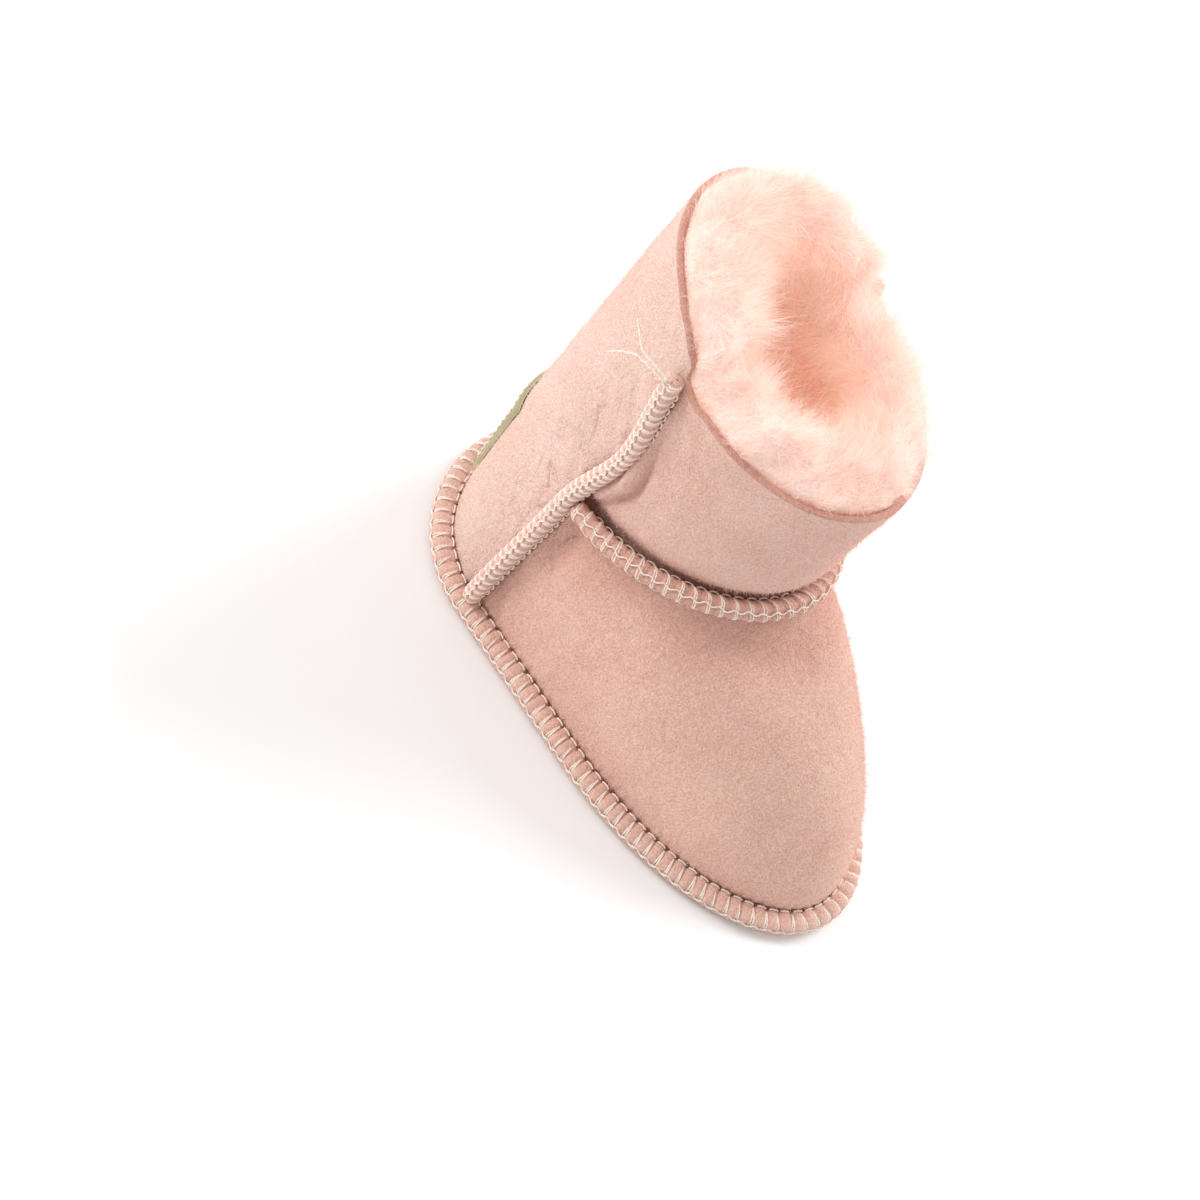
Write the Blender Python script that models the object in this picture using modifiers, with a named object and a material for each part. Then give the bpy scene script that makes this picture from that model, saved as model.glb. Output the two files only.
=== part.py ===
"""Baby bootie in sheepskin, sewn with raised overlock seams that stand outward.

Units are metres, +Z is up, the toe points along -Y and the heel along +Y. The bootie stands
on z = 0. The wearer's right side is -X. Every panel is a suede hide with a separate layer of
wool behind it: sole, vamp, front panel and back panel. Neighbouring hides turn outward along
their shared seam, and a thread band wraps the raised edge.

A place on the upper is given by two numbers. "around" runs from 0 at the right side seam to
1 at the left side seam, through the heel on the back panel and through the toe on the vamp and
the front panel. "rise" runs from 0 at the sole to 1 at the height of the instep seam's ends,
and on to 2 at the rim.
"""
import math

import bmesh
import bpy
from mathutils import Vector

# Materials and gaps
HIDE = 0.0015
GAP = 0.0003
WOOL = 0.0070
WOOL_CLEARANCE = 0.0006
THREAD = 0.0004

# Sole outline: half an ellipse at the heel, straight sides, half an ellipse at the toe
HALF_WIDTH = 0.0325
SEAM_Y = 0.0316
TOE_CENTRE_Y = -0.0054
HEEL_REACH = 0.0290
TOE_REACH = 0.0552
FLANGE = 0.0045

# Shaft: an elliptical tube that opens slightly toward the rim
SHAFT_Y = 0.0264
SHAFT_HALF_LENGTH = 0.0335
SHAFT_HALF_WIDTH = 0.0262
SHAFT_FLARE = 0.03
JUNCTION_Z = 0.0435
INSTEP_LIFT = 0.0065
RIM_SEAM_Z = 0.090
BACK_RIM_LIFT = 0.011
FRONT_RIM_DROP = 0.004
RIM_EASE = 0.35
SEAM_SWAY = 0.003
SWAY_REACH = 0.2

# Heights at the sole edge: the stitched edge of the sole is lifted clear of the floor
SOLE_LIFT = 0.0009
FLANGE_TOP = SOLE_LIFT + 2 * HIDE + GAP
SOLE_STEP = 0.0012
SOLE_REST_INSET = 0.014
SOLE_REST_CORNERS = 8
SOLE_CROWN = 0.00008
SOLE_WOOL_TOP = 0.0085
SOLE_WOOL_ROUND = 0.0025

# Raised seams
FIN = 0.0040
FIN_SIDE = GAP / 2 + HIDE
FIN_LEAN = math.radians(45)
FIN_TAPER = 0.09
CLOSE_EDGE = 0.95
THREAD_START = 0.0012
INSTEP_THREAD_START = 0.0029
INSTEP_TUCK = 0.0016
PANEL_MARGIN = 0.85

# Curvature of the lower upper
SIDE_TANGENT = 0.013
TOE_TANGENT = 0.018
LOWER_BULGE = 0.10
INSTEP_TANGENT = 0.016
TOE_FALL = 0.65

# Wool above the rim, lower on its inner side, and its distance from the side seams
WOOL_CREST = 0.005
INNER_CREST = 0.6
WOOL_MARGIN = 0.004

# Woven label on the heel
LABEL_WIDTH = 0.030
LABEL_LOW_Z = 0.0085
LABEL_HEIGHT = 0.023
LABEL_THICKNESS = 0.0008
LABEL_HEM = 0.0022

# Thread ends at the top of the right side seam
TAIL_RADIUS = 0.0003
NEEDLE_TAIL_START = (-FIN, 0.0006, 0.0008)
LOOPER_TAIL_START = (-FIN - 0.0002, 0.0008, -0.0002)
NEEDLE_TAIL = ((0, 0, 0), (-0.0008, 0.0035, 0.0004), (-0.0012, 0.0070, 0.0002),
               (-0.0004, 0.0100, 0.0016), (0.0004, 0.0125, 0.0026))
LOOPER_TAIL = ((0, 0, 0), (-0.0009, 0.0035, 0.0003), (-0.0014, 0.0070, -0.0002),
               (-0.0020, 0.0095, -0.0026), (-0.0024, 0.0112, -0.0052))

RIGHT = -1
LEFT = 1

BACK_LEVELS = (0.0, 0.1, 0.3, 0.55, 0.8, 1.0, 1.18, 1.38, 1.6, 1.82, 2.0)
VAMP_LEVELS = (0.0, 0.08, 0.2, 0.34, 0.5, 0.66, 0.82, 0.95)
FRONT_LEVELS = (1.08, 1.3, 1.55, 1.8, 2.0)
BACK_WOOL_LEVELS = (0.12, 0.35, 0.65, 1.0, 1.3, 1.6, 1.85, 1.99)
VAMP_WOOL_LEVELS = (0.1, 0.25, 0.45, 0.65, 0.8, 0.93)
FRONT_WOOL_LEVELS = (1.03, 1.12, 1.4, 1.7, 1.99)
SIDE_THREAD_LEVELS = (0.12, 0.25, 0.4, 0.6, 0.8, 1.0, 1.12, 1.25, 1.4, 1.55, 1.7, 1.85, 1.97)
BACK_COLUMNS = 22
VAMP_COLUMNS = 32
FRONT_COLUMNS = 22
SHAFT_WOOL_COLUMNS = 16
VAMP_WOOL_COLUMNS = 28
INSTEP_THREAD_COLUMNS = 30
LABEL_COLUMNS = 8
LABEL_LEVELS = 5
LABEL_STITCH_STEPS = 6
SOLE_COLUMNS = 72
SOLE_FORE_COLUMNS = 48


# ---------------------------------------------------------------- shape of the upper

def between(start, end, share):
    """Point or number a share of the way from start to end."""
    return start + (end - start) * share


def along(points, share):
    """Point a share of the way along a run of points, by length."""
    lengths = [0.0]
    for first, second in zip(points, points[1:]):
        lengths.append(lengths[-1] + (second - first).length)
    target = share * lengths[-1]
    for index in range(len(points) - 1):
        if target <= lengths[index + 1] or index == len(points) - 2:
            span = lengths[index + 1] - lengths[index]
            return between(points[index], points[index + 1], (target - lengths[index]) / span)


def ellipse_run(centre_y, half_width, reach, start, end, steps=48):
    """Points of an ellipse arc; angle 0 is the right side and 90 degrees the heel."""
    angles = [between(start, end, step / steps) for step in range(steps + 1)]
    return [Vector((-half_width * math.cos(a), centre_y + reach * math.sin(a), 0)) for a in angles]


def back_sole_run(inset):
    """Sole outline from the right side seam round the heel to the left side seam."""
    return ellipse_run(SEAM_Y, HALF_WIDTH - inset, HEEL_REACH - inset, 0, math.pi)


def front_sole_run(inset):
    """Sole outline from the right side seam round the toe to the left side seam."""
    half = HALF_WIDTH - inset
    toe = ellipse_run(TOE_CENTRE_Y, half, TOE_REACH - inset, 0, -math.pi)
    return [Vector((-half, SEAM_Y, 0))] + toe + [Vector((half, SEAM_Y, 0))]


SEAM_ANGLE = math.asin((SEAM_Y - SHAFT_Y) / SHAFT_HALF_LENGTH)
BACK_SHAFT = ellipse_run(SHAFT_Y, SHAFT_HALF_WIDTH, SHAFT_HALF_LENGTH,
                         SEAM_ANGLE, math.pi - SEAM_ANGLE)
FRONT_SHAFT = ellipse_run(SHAFT_Y, SHAFT_HALF_WIDTH, SHAFT_HALF_LENGTH,
                          SEAM_ANGLE, -math.pi - SEAM_ANGLE)
BACK_FOOT = back_sole_run(FLANGE)
FRONT_FOOT = front_sole_run(FLANGE)


def hump(around):
    """0 at the side seams and 1 half way between them."""
    return math.sin(math.pi * min(max(around, 0.0), 1.0))


def sway(around, height):
    """Forward drift of the side seams half way up the shaft, fading away from the seam."""
    share = (height - JUNCTION_Z) / (RIM_SEAM_Z - JUNCTION_Z)
    if share <= 0 or share >= 1:
        return 0.0
    edge = max(0.0, 1 - min(around, 1 - around) / SWAY_REACH)
    return -SEAM_SWAY * math.sin(math.pi * share) ** 2 * edge ** 2


def shaft_point(run, around, height):
    """Outer surface of the shaft on one of its two runs."""
    flat = along(run, around)
    flare = 1 + SHAFT_FLARE * (height - JUNCTION_Z) / (RIM_SEAM_Z - JUNCTION_Z)
    y = SHAFT_Y + (flat.y - SHAFT_Y) * flare + sway(around, height)
    return Vector((flat.x * flare, y, height))


def outward(around, front):
    """Horizontal direction that faces away from the shaft."""
    run = FRONT_SHAFT if front else BACK_SHAFT
    ahead = along(run, min(around + 0.01, 1)) - along(run, max(around - 0.01, 0))
    side = Vector((ahead.y, -ahead.x, 0)).normalized()
    return side if front else -side


def bezier(start, first, second, end, share):
    """Point on a cubic curve."""
    back = 1 - share
    return (start * back ** 3 + first * 3 * back ** 2 * share
            + second * 3 * back * share ** 2 + end * share ** 3)


def back_point(around, rise):
    """Outer surface of the back panel."""
    if rise > 1:
        rim = RIM_SEAM_Z + BACK_RIM_LIFT * hump(around) ** RIM_EASE
        return shaft_point(BACK_SHAFT, around, between(JUNCTION_Z, rim, rise - 1))
    foot = along(BACK_FOOT, around) + Vector((0, 0, FLANGE_TOP))
    top = shaft_point(BACK_SHAFT, around, JUNCTION_Z)
    lift = Vector((0, 0, SIDE_TANGENT))
    swell = outward(around, False) * SIDE_TANGENT * LOWER_BULGE
    return bezier(foot, foot + lift + swell, top - lift, top, rise)


def instep_point(around):
    """The seam between vamp and front panel."""
    height = JUNCTION_Z + INSTEP_LIFT * hump(around) ** 1.5
    return shaft_point(FRONT_SHAFT, around, height)


def vamp_point(around, rise):
    """Outer surface of the vamp, from the sole edge up to the instep seam."""
    foot = along(FRONT_FOOT, around) + Vector((0, 0, FLANGE_TOP))
    top = instep_point(around)
    toe = hump(around) ** 3
    face = outward(around, True)
    lift = Vector((0, 0, between(SIDE_TANGENT, TOE_TANGENT, toe)))
    swell = face * SIDE_TANGENT * LOWER_BULGE
    slope = between(Vector((0, 0, -1)), face - Vector((0, 0, TOE_FALL)), toe).normalized()
    reach = between(SIDE_TANGENT, INSTEP_TANGENT, toe)
    return bezier(foot, foot + lift + swell, top + slope * reach, top, rise)


def front_point(around, rise):
    """Outer surface of the front panel, from the instep seam up to the rim."""
    rim = RIM_SEAM_Z - FRONT_RIM_DROP * hump(around) ** RIM_EASE
    height = between(instep_point(around).z, rim, rise - 1)
    return shaft_point(FRONT_SHAFT, around, height)


def inner_point(surface, around, rise, depth):
    """Point of a panel's surface moved into the bootie along the surface's own normal."""
    step = 0.01
    low, high = max(around - step, 0), min(around + step, 1)
    across = surface(high, rise) - surface(low, rise)
    upward = surface(around, rise + step) - surface(around, rise - step)
    normal = across.cross(upward).normalized()
    centre = Vector((0, SHAFT_Y, surface(around, rise).z))
    if surface is vamp_point:
        centre = Vector((0, TOE_CENTRE_Y, 0))
    if normal.dot(centre - surface(around, rise)) < 0:
        normal.negate()
    return surface(around, rise) + normal * depth


# ---------------------------------------------------------------- seams

def fin_height(rise):
    """Height of a side seam's raised edge; it dies away into the sole edge."""
    return FIN * min(1.0, max(0.0, rise) / FIN_TAPER)


def instep_fin_height(around):
    """Height of the instep seam's raised edge; it dies away toward the side seams."""
    return FIN * min(1.0, min(around, 1 - around) / FIN_TAPER)


def edge_shift(height):
    """Distance of a hide's turned edge from the seam, closer where the raised edge dies away."""
    return GAP / 2 + HIDE * between(CLOSE_EDGE, 1, min(1.0, 2 * height / FIN))


def instep_frame(around):
    """Direction of the instep's raised edge, and the direction across its thickness."""
    ahead = instep_point(min(around + 0.01, 1)) - instep_point(max(around - 0.01, 0))
    face = outward(around, True)
    edge = (face * math.cos(FIN_LEAN) + Vector((0, 0, math.sin(FIN_LEAN)))).normalized()
    across = ahead.normalized().cross(edge).normalized()
    if across.z < 0:
        across.negate()
    return edge, across


# ---------------------------------------------------------------- meshes and objects

def add_object(name, mesh, material):
    """Put a mesh in the bootie's collection with its own material."""
    item = bpy.data.objects.new(name, mesh)
    PARTS.objects.link(item)
    mesh.materials.append(material)
    return item


def finish_mesh(name, bm):
    """Turn a bmesh into a mesh with its merged corners and outward faces."""
    bmesh.ops.remove_doubles(bm, verts=bm.verts, dist=0.00002)
    bmesh.ops.recalc_face_normals(bm, faces=bm.faces)
    if bm.calc_volume(signed=True) < 0:
        bmesh.ops.reverse_faces(bm, faces=bm.faces)
    mesh = bpy.data.meshes.new(name)
    bm.to_mesh(mesh)
    bm.free()
    return mesh


def loft(bm, rows, closed=False):
    """Join rows of points with faces, and return the rows of vertices."""
    lines = [[bm.verts.new(point) for point in row] for row in rows]
    for low, high in zip(lines, lines[1:]):
        count = len(low)
        for index in range(count if closed else count - 1):
            after = (index + 1) % count
            bm.faces.new((low[index], low[after], high[after], high[index]))
    return lines


def add_sheet(name, rows, material, thickness, outside):
    """Add an open lofted sheet that mostly faces one way, with thickness on its other side."""
    bm = bmesh.new()
    loft(bm, rows)
    mesh = finish_mesh(name, bm)
    if sum(face.area * face.normal.dot(outside) for face in mesh.polygons) < 0:
        mesh.flip_normals()
    item = add_object(name, mesh, material)
    solid = item.modifiers.new("thickness", "SOLIDIFY")
    solid.thickness = thickness
    solid.offset = -1
    return item


def add_pad(name, outer, inner, material):
    """Add a closed layer between an outer and an inner lofted surface."""
    bm = bmesh.new()
    loft(bm, outer)
    loft(bm, inner)
    for edge in (0, -1):
        loft(bm, [outer[edge], inner[edge]])
        loft(bm, [[row[edge] for row in outer], [row[edge] for row in inner]])
    return add_object(name, finish_mesh(name, bm), material)


def add_band(name, rings, material, closed):
    """Add a band swept through profile rings, closed on itself or capped at its ends."""
    bm = bmesh.new()
    lines = loft(bm, rings + rings[:1] if closed else rings, closed=True)
    if not closed:
        bm.faces.new(lines[0])
        bm.faces.new(lines[-1])
    return add_object(name, finish_mesh(name, bm), material)


def new_material(name, colour, roughness):
    """A plain non-metallic surface."""
    material = bpy.data.materials.new(name)
    material.use_nodes = True
    shader = material.node_tree.nodes["Principled BSDF"]
    shader.inputs["Base Color"].default_value = (*colour, 1)
    shader.inputs["Roughness"].default_value = roughness
    shader.inputs["Metallic"].default_value = 0
    return material


def suede(name):
    """Pale pink brushed hide."""
    return new_material(name, (0.80, 0.50, 0.42), 0.95)


def wool(name):
    """Cream and pink pile."""
    return new_material(name, (0.93, 0.70, 0.60), 1.0)


def cotton(name):
    """Off-white sewing thread."""
    return new_material(name, (0.90, 0.82, 0.72), 0.8)


# ---------------------------------------------------------------- sole

def sole_ring(inset, height):
    """The whole sole outline moved inward, at a height, as one ring."""
    front = front_sole_run(inset)
    back = back_sole_run(inset)
    back_count = SOLE_COLUMNS - SOLE_FORE_COLUMNS
    ring = [along(front, step / SOLE_FORE_COLUMNS) for step in range(SOLE_FORE_COLUMNS)]
    ring += [along(back, 1 - step / back_count) for step in range(back_count)]
    return [point + Vector((0, 0, height)) for point in ring]


def make_sole_hide():
    """Flat sole: an eight-cornered rest in its middle, and a stitched edge lifted off the floor."""
    high, low = SOLE_LIFT + HIDE, HIDE + SOLE_CROWN
    rings = [sole_ring(0, high), sole_ring(FLANGE, high), sole_ring(FLANGE + SOLE_STEP, low)]
    bm = bmesh.new()
    lines = loft(bm, rings, closed=True)
    corners = sole_ring(SOLE_REST_INSET, HIDE)[::SOLE_COLUMNS // SOLE_REST_CORNERS]
    rest = bm.faces.new([bm.verts.new(point) for point in corners])
    around = [edge for edge in bm.edges if all(vert in lines[-1] for vert in edge.verts)]
    bmesh.ops.bridge_loops(bm, edges=around + list(rest.edges))
    mesh = finish_mesh("sole_hide", bm)
    if sum(face.area * face.normal.z for face in mesh.polygons) < 0:
        mesh.flip_normals()
    item = add_object("sole_hide", mesh, suede("sole_suede"))
    solid = item.modifiers.new("thickness", "SOLIDIFY")
    solid.thickness = HIDE
    solid.offset = -1
    solid.use_even_offset = True


def make_sole_wool():
    """Pile that lies on the sole inside the upper."""
    side = FLANGE + HIDE + 2 * GAP
    rings = [sole_ring(side, HIDE + GAP), sole_ring(side, SOLE_WOOL_TOP - SOLE_WOOL_ROUND),
             sole_ring(side + SOLE_WOOL_ROUND, SOLE_WOOL_TOP)]
    add_band("sole_wool", rings, wool("sole_pile"), closed=False)


# ---------------------------------------------------------------- hides of the upper

def panel_columns(count):
    """Places around a panel, clear of its two turned edges."""
    margin = PANEL_MARGIN / count
    return [between(margin, 1 - margin, step / count) for step in range(count + 1)]


def side_edge(surface, side, rise, front):
    """The two points that turn a panel outward at a side seam: tip first, then fold."""
    seam = surface(0 if side == RIGHT else 1, rise)
    height = fin_height(rise)
    shift = Vector((0, -1 if front else 1, 0)) * edge_shift(height)
    fold = seam + shift
    return [fold + Vector((side * height, 0, 0)), fold]


def panel_row(surface, rise, columns, front):
    """One row of a panel from its right turned edge to its left one."""
    row = side_edge(surface, RIGHT, rise, front)
    row += [surface(around, rise) for around in columns]
    return row + list(reversed(side_edge(surface, LEFT, rise, front)))


def foot_flange(folds, run, columns):
    """The row that turns a panel outward onto the sole edge."""
    row = []
    for place, fold in zip([0, 0] + columns + [1, 1], folds):
        tip = along(run, place)
        row.append(Vector((tip.x, fold.y if place in (0, 1) else tip.y, fold.z)))
    return row


def make_back_panel_hide():
    """Heel and back of the shaft in one piece."""
    columns = panel_columns(BACK_COLUMNS)
    rows = [panel_row(back_point, rise, columns, False) for rise in BACK_LEVELS]
    rows.insert(0, foot_flange(rows[0], back_sole_run(0), columns))
    add_sheet("back_panel_hide", rows, suede("back_panel_suede"), HIDE, Vector((0, 1, 0)))


def instep_edge_row(row, columns, side_sign, reach):
    """Row of a panel at the instep seam, moved across the seam and out along its edge."""
    result = []
    for around, old in zip([0, 0] + columns + [1, 1], row):
        height = instep_fin_height(around)
        shift = side_sign * edge_shift(height)
        if around in (0, 1):
            result.append(old + Vector((0, 0, shift)))
        else:
            edge, across = instep_frame(around)
            result.append(instep_point(around) + across * shift + edge * height * reach)
    return result


def make_vamp_hide():
    """Toe and sides of the foot in one piece."""
    columns = panel_columns(VAMP_COLUMNS)
    rows = [panel_row(vamp_point, rise, columns, True) for rise in VAMP_LEVELS]
    rows.insert(0, foot_flange(rows[0], front_sole_run(0), columns))
    top = panel_row(vamp_point, 1.0, columns, True)
    rows.append(instep_edge_row(top, columns, -1, 0))
    rows.append(instep_edge_row(top, columns, -1, 1))
    add_sheet("vamp_hide", rows, suede("vamp_suede"), HIDE, Vector((0, -1, 0.3)))


def make_front_panel_hide():
    """Front of the shaft, from the instep seam to the rim."""
    columns = panel_columns(FRONT_COLUMNS)
    bottom = panel_row(front_point, 1.0, columns, True)
    rows = [instep_edge_row(bottom, columns, 1, 1), instep_edge_row(bottom, columns, 1, 0)]
    rows += [panel_row(front_point, rise, columns, True) for rise in FRONT_LEVELS]
    add_sheet("front_panel_hide", rows, suede("front_panel_suede"), HIDE, Vector((0, -1, 0)))


# ---------------------------------------------------------------- wool of the upper

def wool_layer(surface, levels, count, depth, crest):
    """A lofted surface inside a panel, raised above the rim at its last level."""
    places = [between(WOOL_MARGIN, 1 - WOOL_MARGIN, step / count) for step in range(count + 1)]
    floor = SOLE_WOOL_TOP + GAP
    rows = []
    for rise in levels:
        tuck = INSTEP_TUCK if surface is front_point and rise == levels[0] else 0
        row = [inner_point(surface, around, rise, depth + tuck) for around in places]
        rows.append([Vector((p.x, p.y, max(p.z, floor))) for p in row])
    rows[-1] = [point + Vector((0, 0, crest)) for point in rows[-1]]
    return rows


def make_wool(name, surface, levels, count, crest):
    """The pile behind one hide, raised above the rim by its crest."""
    behind = HIDE + WOOL_CLEARANCE
    outer = wool_layer(surface, levels, count, behind, crest)
    inner = wool_layer(surface, levels, count, behind + WOOL, crest * INNER_CREST)
    add_pad(name, outer, inner, wool(name.replace("wool", "pile")))


# ---------------------------------------------------------------- threads

def u_profile(side, top, start):
    """Section of a band that wraps an edge: (across, out) pairs round the section."""
    inner, outer = side + GAP, side + GAP + THREAD
    low, high = top + GAP, top + GAP + THREAD
    corner = THREAD / 2
    half = [(outer, start), (outer, high - corner), (outer - corner, high)]
    mirrored = [(-across, out) for across, out in reversed(half)]
    return half + mirrored + [(-inner, start), (-inner, low), (inner, low), (inner, start)]


def make_sole_thread():
    """Overlock thread round the whole sole edge."""
    middle = (SOLE_LIFT + FLANGE_TOP) / 2
    side = (FLANGE_TOP - SOLE_LIFT) / 2
    section = u_profile(side, 0, THREAD_START - FLANGE)
    columns = [sole_ring(-out, middle + across) for across, out in section]
    rings = [list(ring) for ring in zip(*columns)]
    add_band("sole_overlock_thread", rings, cotton("sole_thread"), closed=True)


def make_side_thread(name, side):
    """Overlock thread over one side seam, from just above the sole edge to the rim."""
    section = u_profile(FIN_SIDE, FIN, THREAD_START)
    around = 0 if side == RIGHT else 1
    rings = []
    for rise in SIDE_THREAD_LEVELS:
        seam = back_point(around, rise)
        rings.append([seam + Vector((side * out, across, 0)) for across, out in section])
    add_band(name, rings, cotton(name.replace("overlock_", "")), closed=False)


def make_instep_thread():
    """Overlock thread over the instep seam, between the two side seams."""
    section = u_profile(FIN_SIDE, FIN, INSTEP_THREAD_START)
    rings = []
    first = FIN_TAPER + 0.01
    for step in range(INSTEP_THREAD_COLUMNS + 1):
        around = between(first, 1 - first, step / INSTEP_THREAD_COLUMNS)
        edge, sideways = instep_frame(around)
        seam = instep_point(around)
        rings.append([seam + edge * out + sideways * across for across, out in section])
    add_band("instep_overlock_thread", rings, cotton("instep_thread"), closed=False)


def make_tail(name, start, offsets):
    """A loose thread end as a thin round tube that leaves the top of the right side seam."""
    curve = bpy.data.curves.new(name, "CURVE")
    curve.dimensions = "3D"
    curve.bevel_depth = TAIL_RADIUS
    curve.bevel_resolution = 2
    curve.use_fill_caps = True
    spline = curve.splines.new("POLY")
    spline.points.add(len(offsets) - 1)
    root = back_point(0, 2) + Vector(start)
    for target, offset in zip(spline.points, offsets):
        target.co = (*(root + Vector(offset)), 1)
    item = bpy.data.objects.new(name, curve)
    PARTS.objects.link(item)
    curve.materials.append(cotton(name + "_cotton"))


# ---------------------------------------------------------------- label

def label_point(across, up, lift):
    """Point on the heel under the label; across and up run from 0 to 1."""
    width = sum((b - a).length for a, b in zip(BACK_SHAFT, BACK_SHAFT[1:]))
    around = 0.5 + (across - 0.5) * LABEL_WIDTH / width
    height = LABEL_LOW_Z + LABEL_HEIGHT * up
    low, high = 0.0, 1.0
    for _ in range(24):
        rise = (low + high) / 2
        if back_point(around, rise).z < height:
            low = rise
        else:
            high = rise
    return inner_point(back_point, around, (low + high) / 2, -lift)


def make_label():
    """Woven patch sewn to the heel."""
    rows = []
    for level in range(LABEL_LEVELS + 1):
        up = level / LABEL_LEVELS
        rows.append([label_point(column / LABEL_COLUMNS, up, GAP + LABEL_THICKNESS)
                     for column in range(LABEL_COLUMNS + 1)])
    add_sheet("heel_label", rows, new_material("label_weave", (0.55, 0.50, 0.26), 0.85),
              LABEL_THICKNESS, Vector((0, 1, 0)))


def make_label_stitching():
    """One closed line of stitching just inside the label's edge."""
    wide, high = LABEL_HEM / LABEL_WIDTH, LABEL_HEM / LABEL_HEIGHT
    corners = [(wide, high), (1 - wide, high), (1 - wide, 1 - high), (wide, 1 - high)]
    turn_in = 1 - 2 * THREAD / LABEL_WIDTH
    base = 2 * GAP + LABEL_THICKNESS
    rings = []
    for start, end in zip(corners, corners[1:] + corners[:1]):
        for step in range(LABEL_STITCH_STEPS):
            outer = [between(a, b, step / LABEL_STITCH_STEPS) for a, b in zip(start, end)]
            inner = [between(0.5, place, turn_in) for place in outer]
            rings.append([label_point(*outer, base), label_point(*outer, base + THREAD),
                          label_point(*inner, base + THREAD), label_point(*inner, base)])
    add_band("heel_label_stitching", rings, cotton("label_thread"), closed=True)


# ---------------------------------------------------------------- build

for old in list(bpy.data.objects):
    bpy.data.objects.remove(old)
PARTS = bpy.data.collections.new("baby_bootie")
bpy.context.scene.collection.children.link(PARTS)

make_sole_hide()
make_sole_wool()
make_back_panel_hide()
make_vamp_hide()
make_front_panel_hide()
make_wool("back_panel_wool", back_point, BACK_WOOL_LEVELS, SHAFT_WOOL_COLUMNS, WOOL_CREST)
make_wool("vamp_wool", vamp_point, VAMP_WOOL_LEVELS, VAMP_WOOL_COLUMNS, 0)
make_wool("front_panel_wool", front_point, FRONT_WOOL_LEVELS, SHAFT_WOOL_COLUMNS, WOOL_CREST)
make_sole_thread()
make_side_thread("right_side_overlock_thread", RIGHT)
make_side_thread("left_side_overlock_thread", LEFT)
make_instep_thread()
make_tail("needle_thread_tail", NEEDLE_TAIL_START, NEEDLE_TAIL)
make_tail("looper_thread_tail", LOOPER_TAIL_START, LOOPER_TAIL)
make_label()
make_label_stitching()
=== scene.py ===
"""Looks of a baby bootie in twin-face sheepskin: suede outside, wool pile inside.

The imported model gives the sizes. Each hide, pile, seam edge and thread is rebuilt here in fine
detail on the same surfaces, and stands for its plain CAD solid. Units are metres, +Z is up, the
toe points along -Y and the wearer's right side is -X.

A place on the upper is given by two numbers. "around" runs from 0 at the right side seam to 1
at the left side seam. "rise" runs from 0 at the sole to 1 at the height of the instep seam's
ends, and on to 2 at the rim.
"""
import logging
import math
from dataclasses import dataclass, field
from enum import Enum
from typing import Callable, Iterable, Sequence

import bmesh
import bpy
import numpy as np
from mathutils import Matrix, Vector, noise


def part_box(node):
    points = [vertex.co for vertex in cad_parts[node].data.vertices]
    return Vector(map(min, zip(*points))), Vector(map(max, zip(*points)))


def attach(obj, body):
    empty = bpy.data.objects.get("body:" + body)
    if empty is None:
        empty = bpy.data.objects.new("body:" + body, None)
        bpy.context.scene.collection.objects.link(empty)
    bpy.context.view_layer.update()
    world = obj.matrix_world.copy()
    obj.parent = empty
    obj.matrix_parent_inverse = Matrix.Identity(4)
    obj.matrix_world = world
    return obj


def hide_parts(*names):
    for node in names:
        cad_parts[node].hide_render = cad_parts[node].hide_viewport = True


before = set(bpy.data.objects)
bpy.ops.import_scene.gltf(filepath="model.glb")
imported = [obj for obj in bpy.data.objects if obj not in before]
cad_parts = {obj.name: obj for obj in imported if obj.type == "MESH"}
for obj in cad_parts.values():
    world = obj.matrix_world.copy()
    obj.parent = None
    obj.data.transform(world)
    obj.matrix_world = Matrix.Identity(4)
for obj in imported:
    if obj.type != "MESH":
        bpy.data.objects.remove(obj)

LOG = logging.getLogger("bootie")
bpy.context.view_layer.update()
PATTERN_SEED = 7
Surface = Callable[[np.ndarray, np.ndarray], np.ndarray]
MIX_SHARE, MIX_FIRST, MIX_SECOND, MIX_RESULT = 0, 6, 7, 2  # colour sockets of a Mix node
ARC_POINTS = 97
CREASE_SLANT = np.array([[1, 0.3, 0.1], [0.2, 1, 0.7], [0, -0.7, 1]])
CREASE_STRETCH = np.array([1, 2.4, 0.6])
FOLD_STRETCH = np.array([1, 2.6, 0.8])
RIM = 1.99  # the rise just under the rim, where a surface still has a next row
UNSTRETCHED = (1, 1, 1)


class Side(Enum):
    """A side of the wearer's foot, with the sign of its X."""

    RIGHT = -1
    LEFT = 1


class Region(Enum):
    """The three hides of the upper."""

    BACK = "back_panel"
    VAMP = "vamp"
    FRONT = "front_panel"


# ------------------------------------------------------------------ finishes

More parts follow.
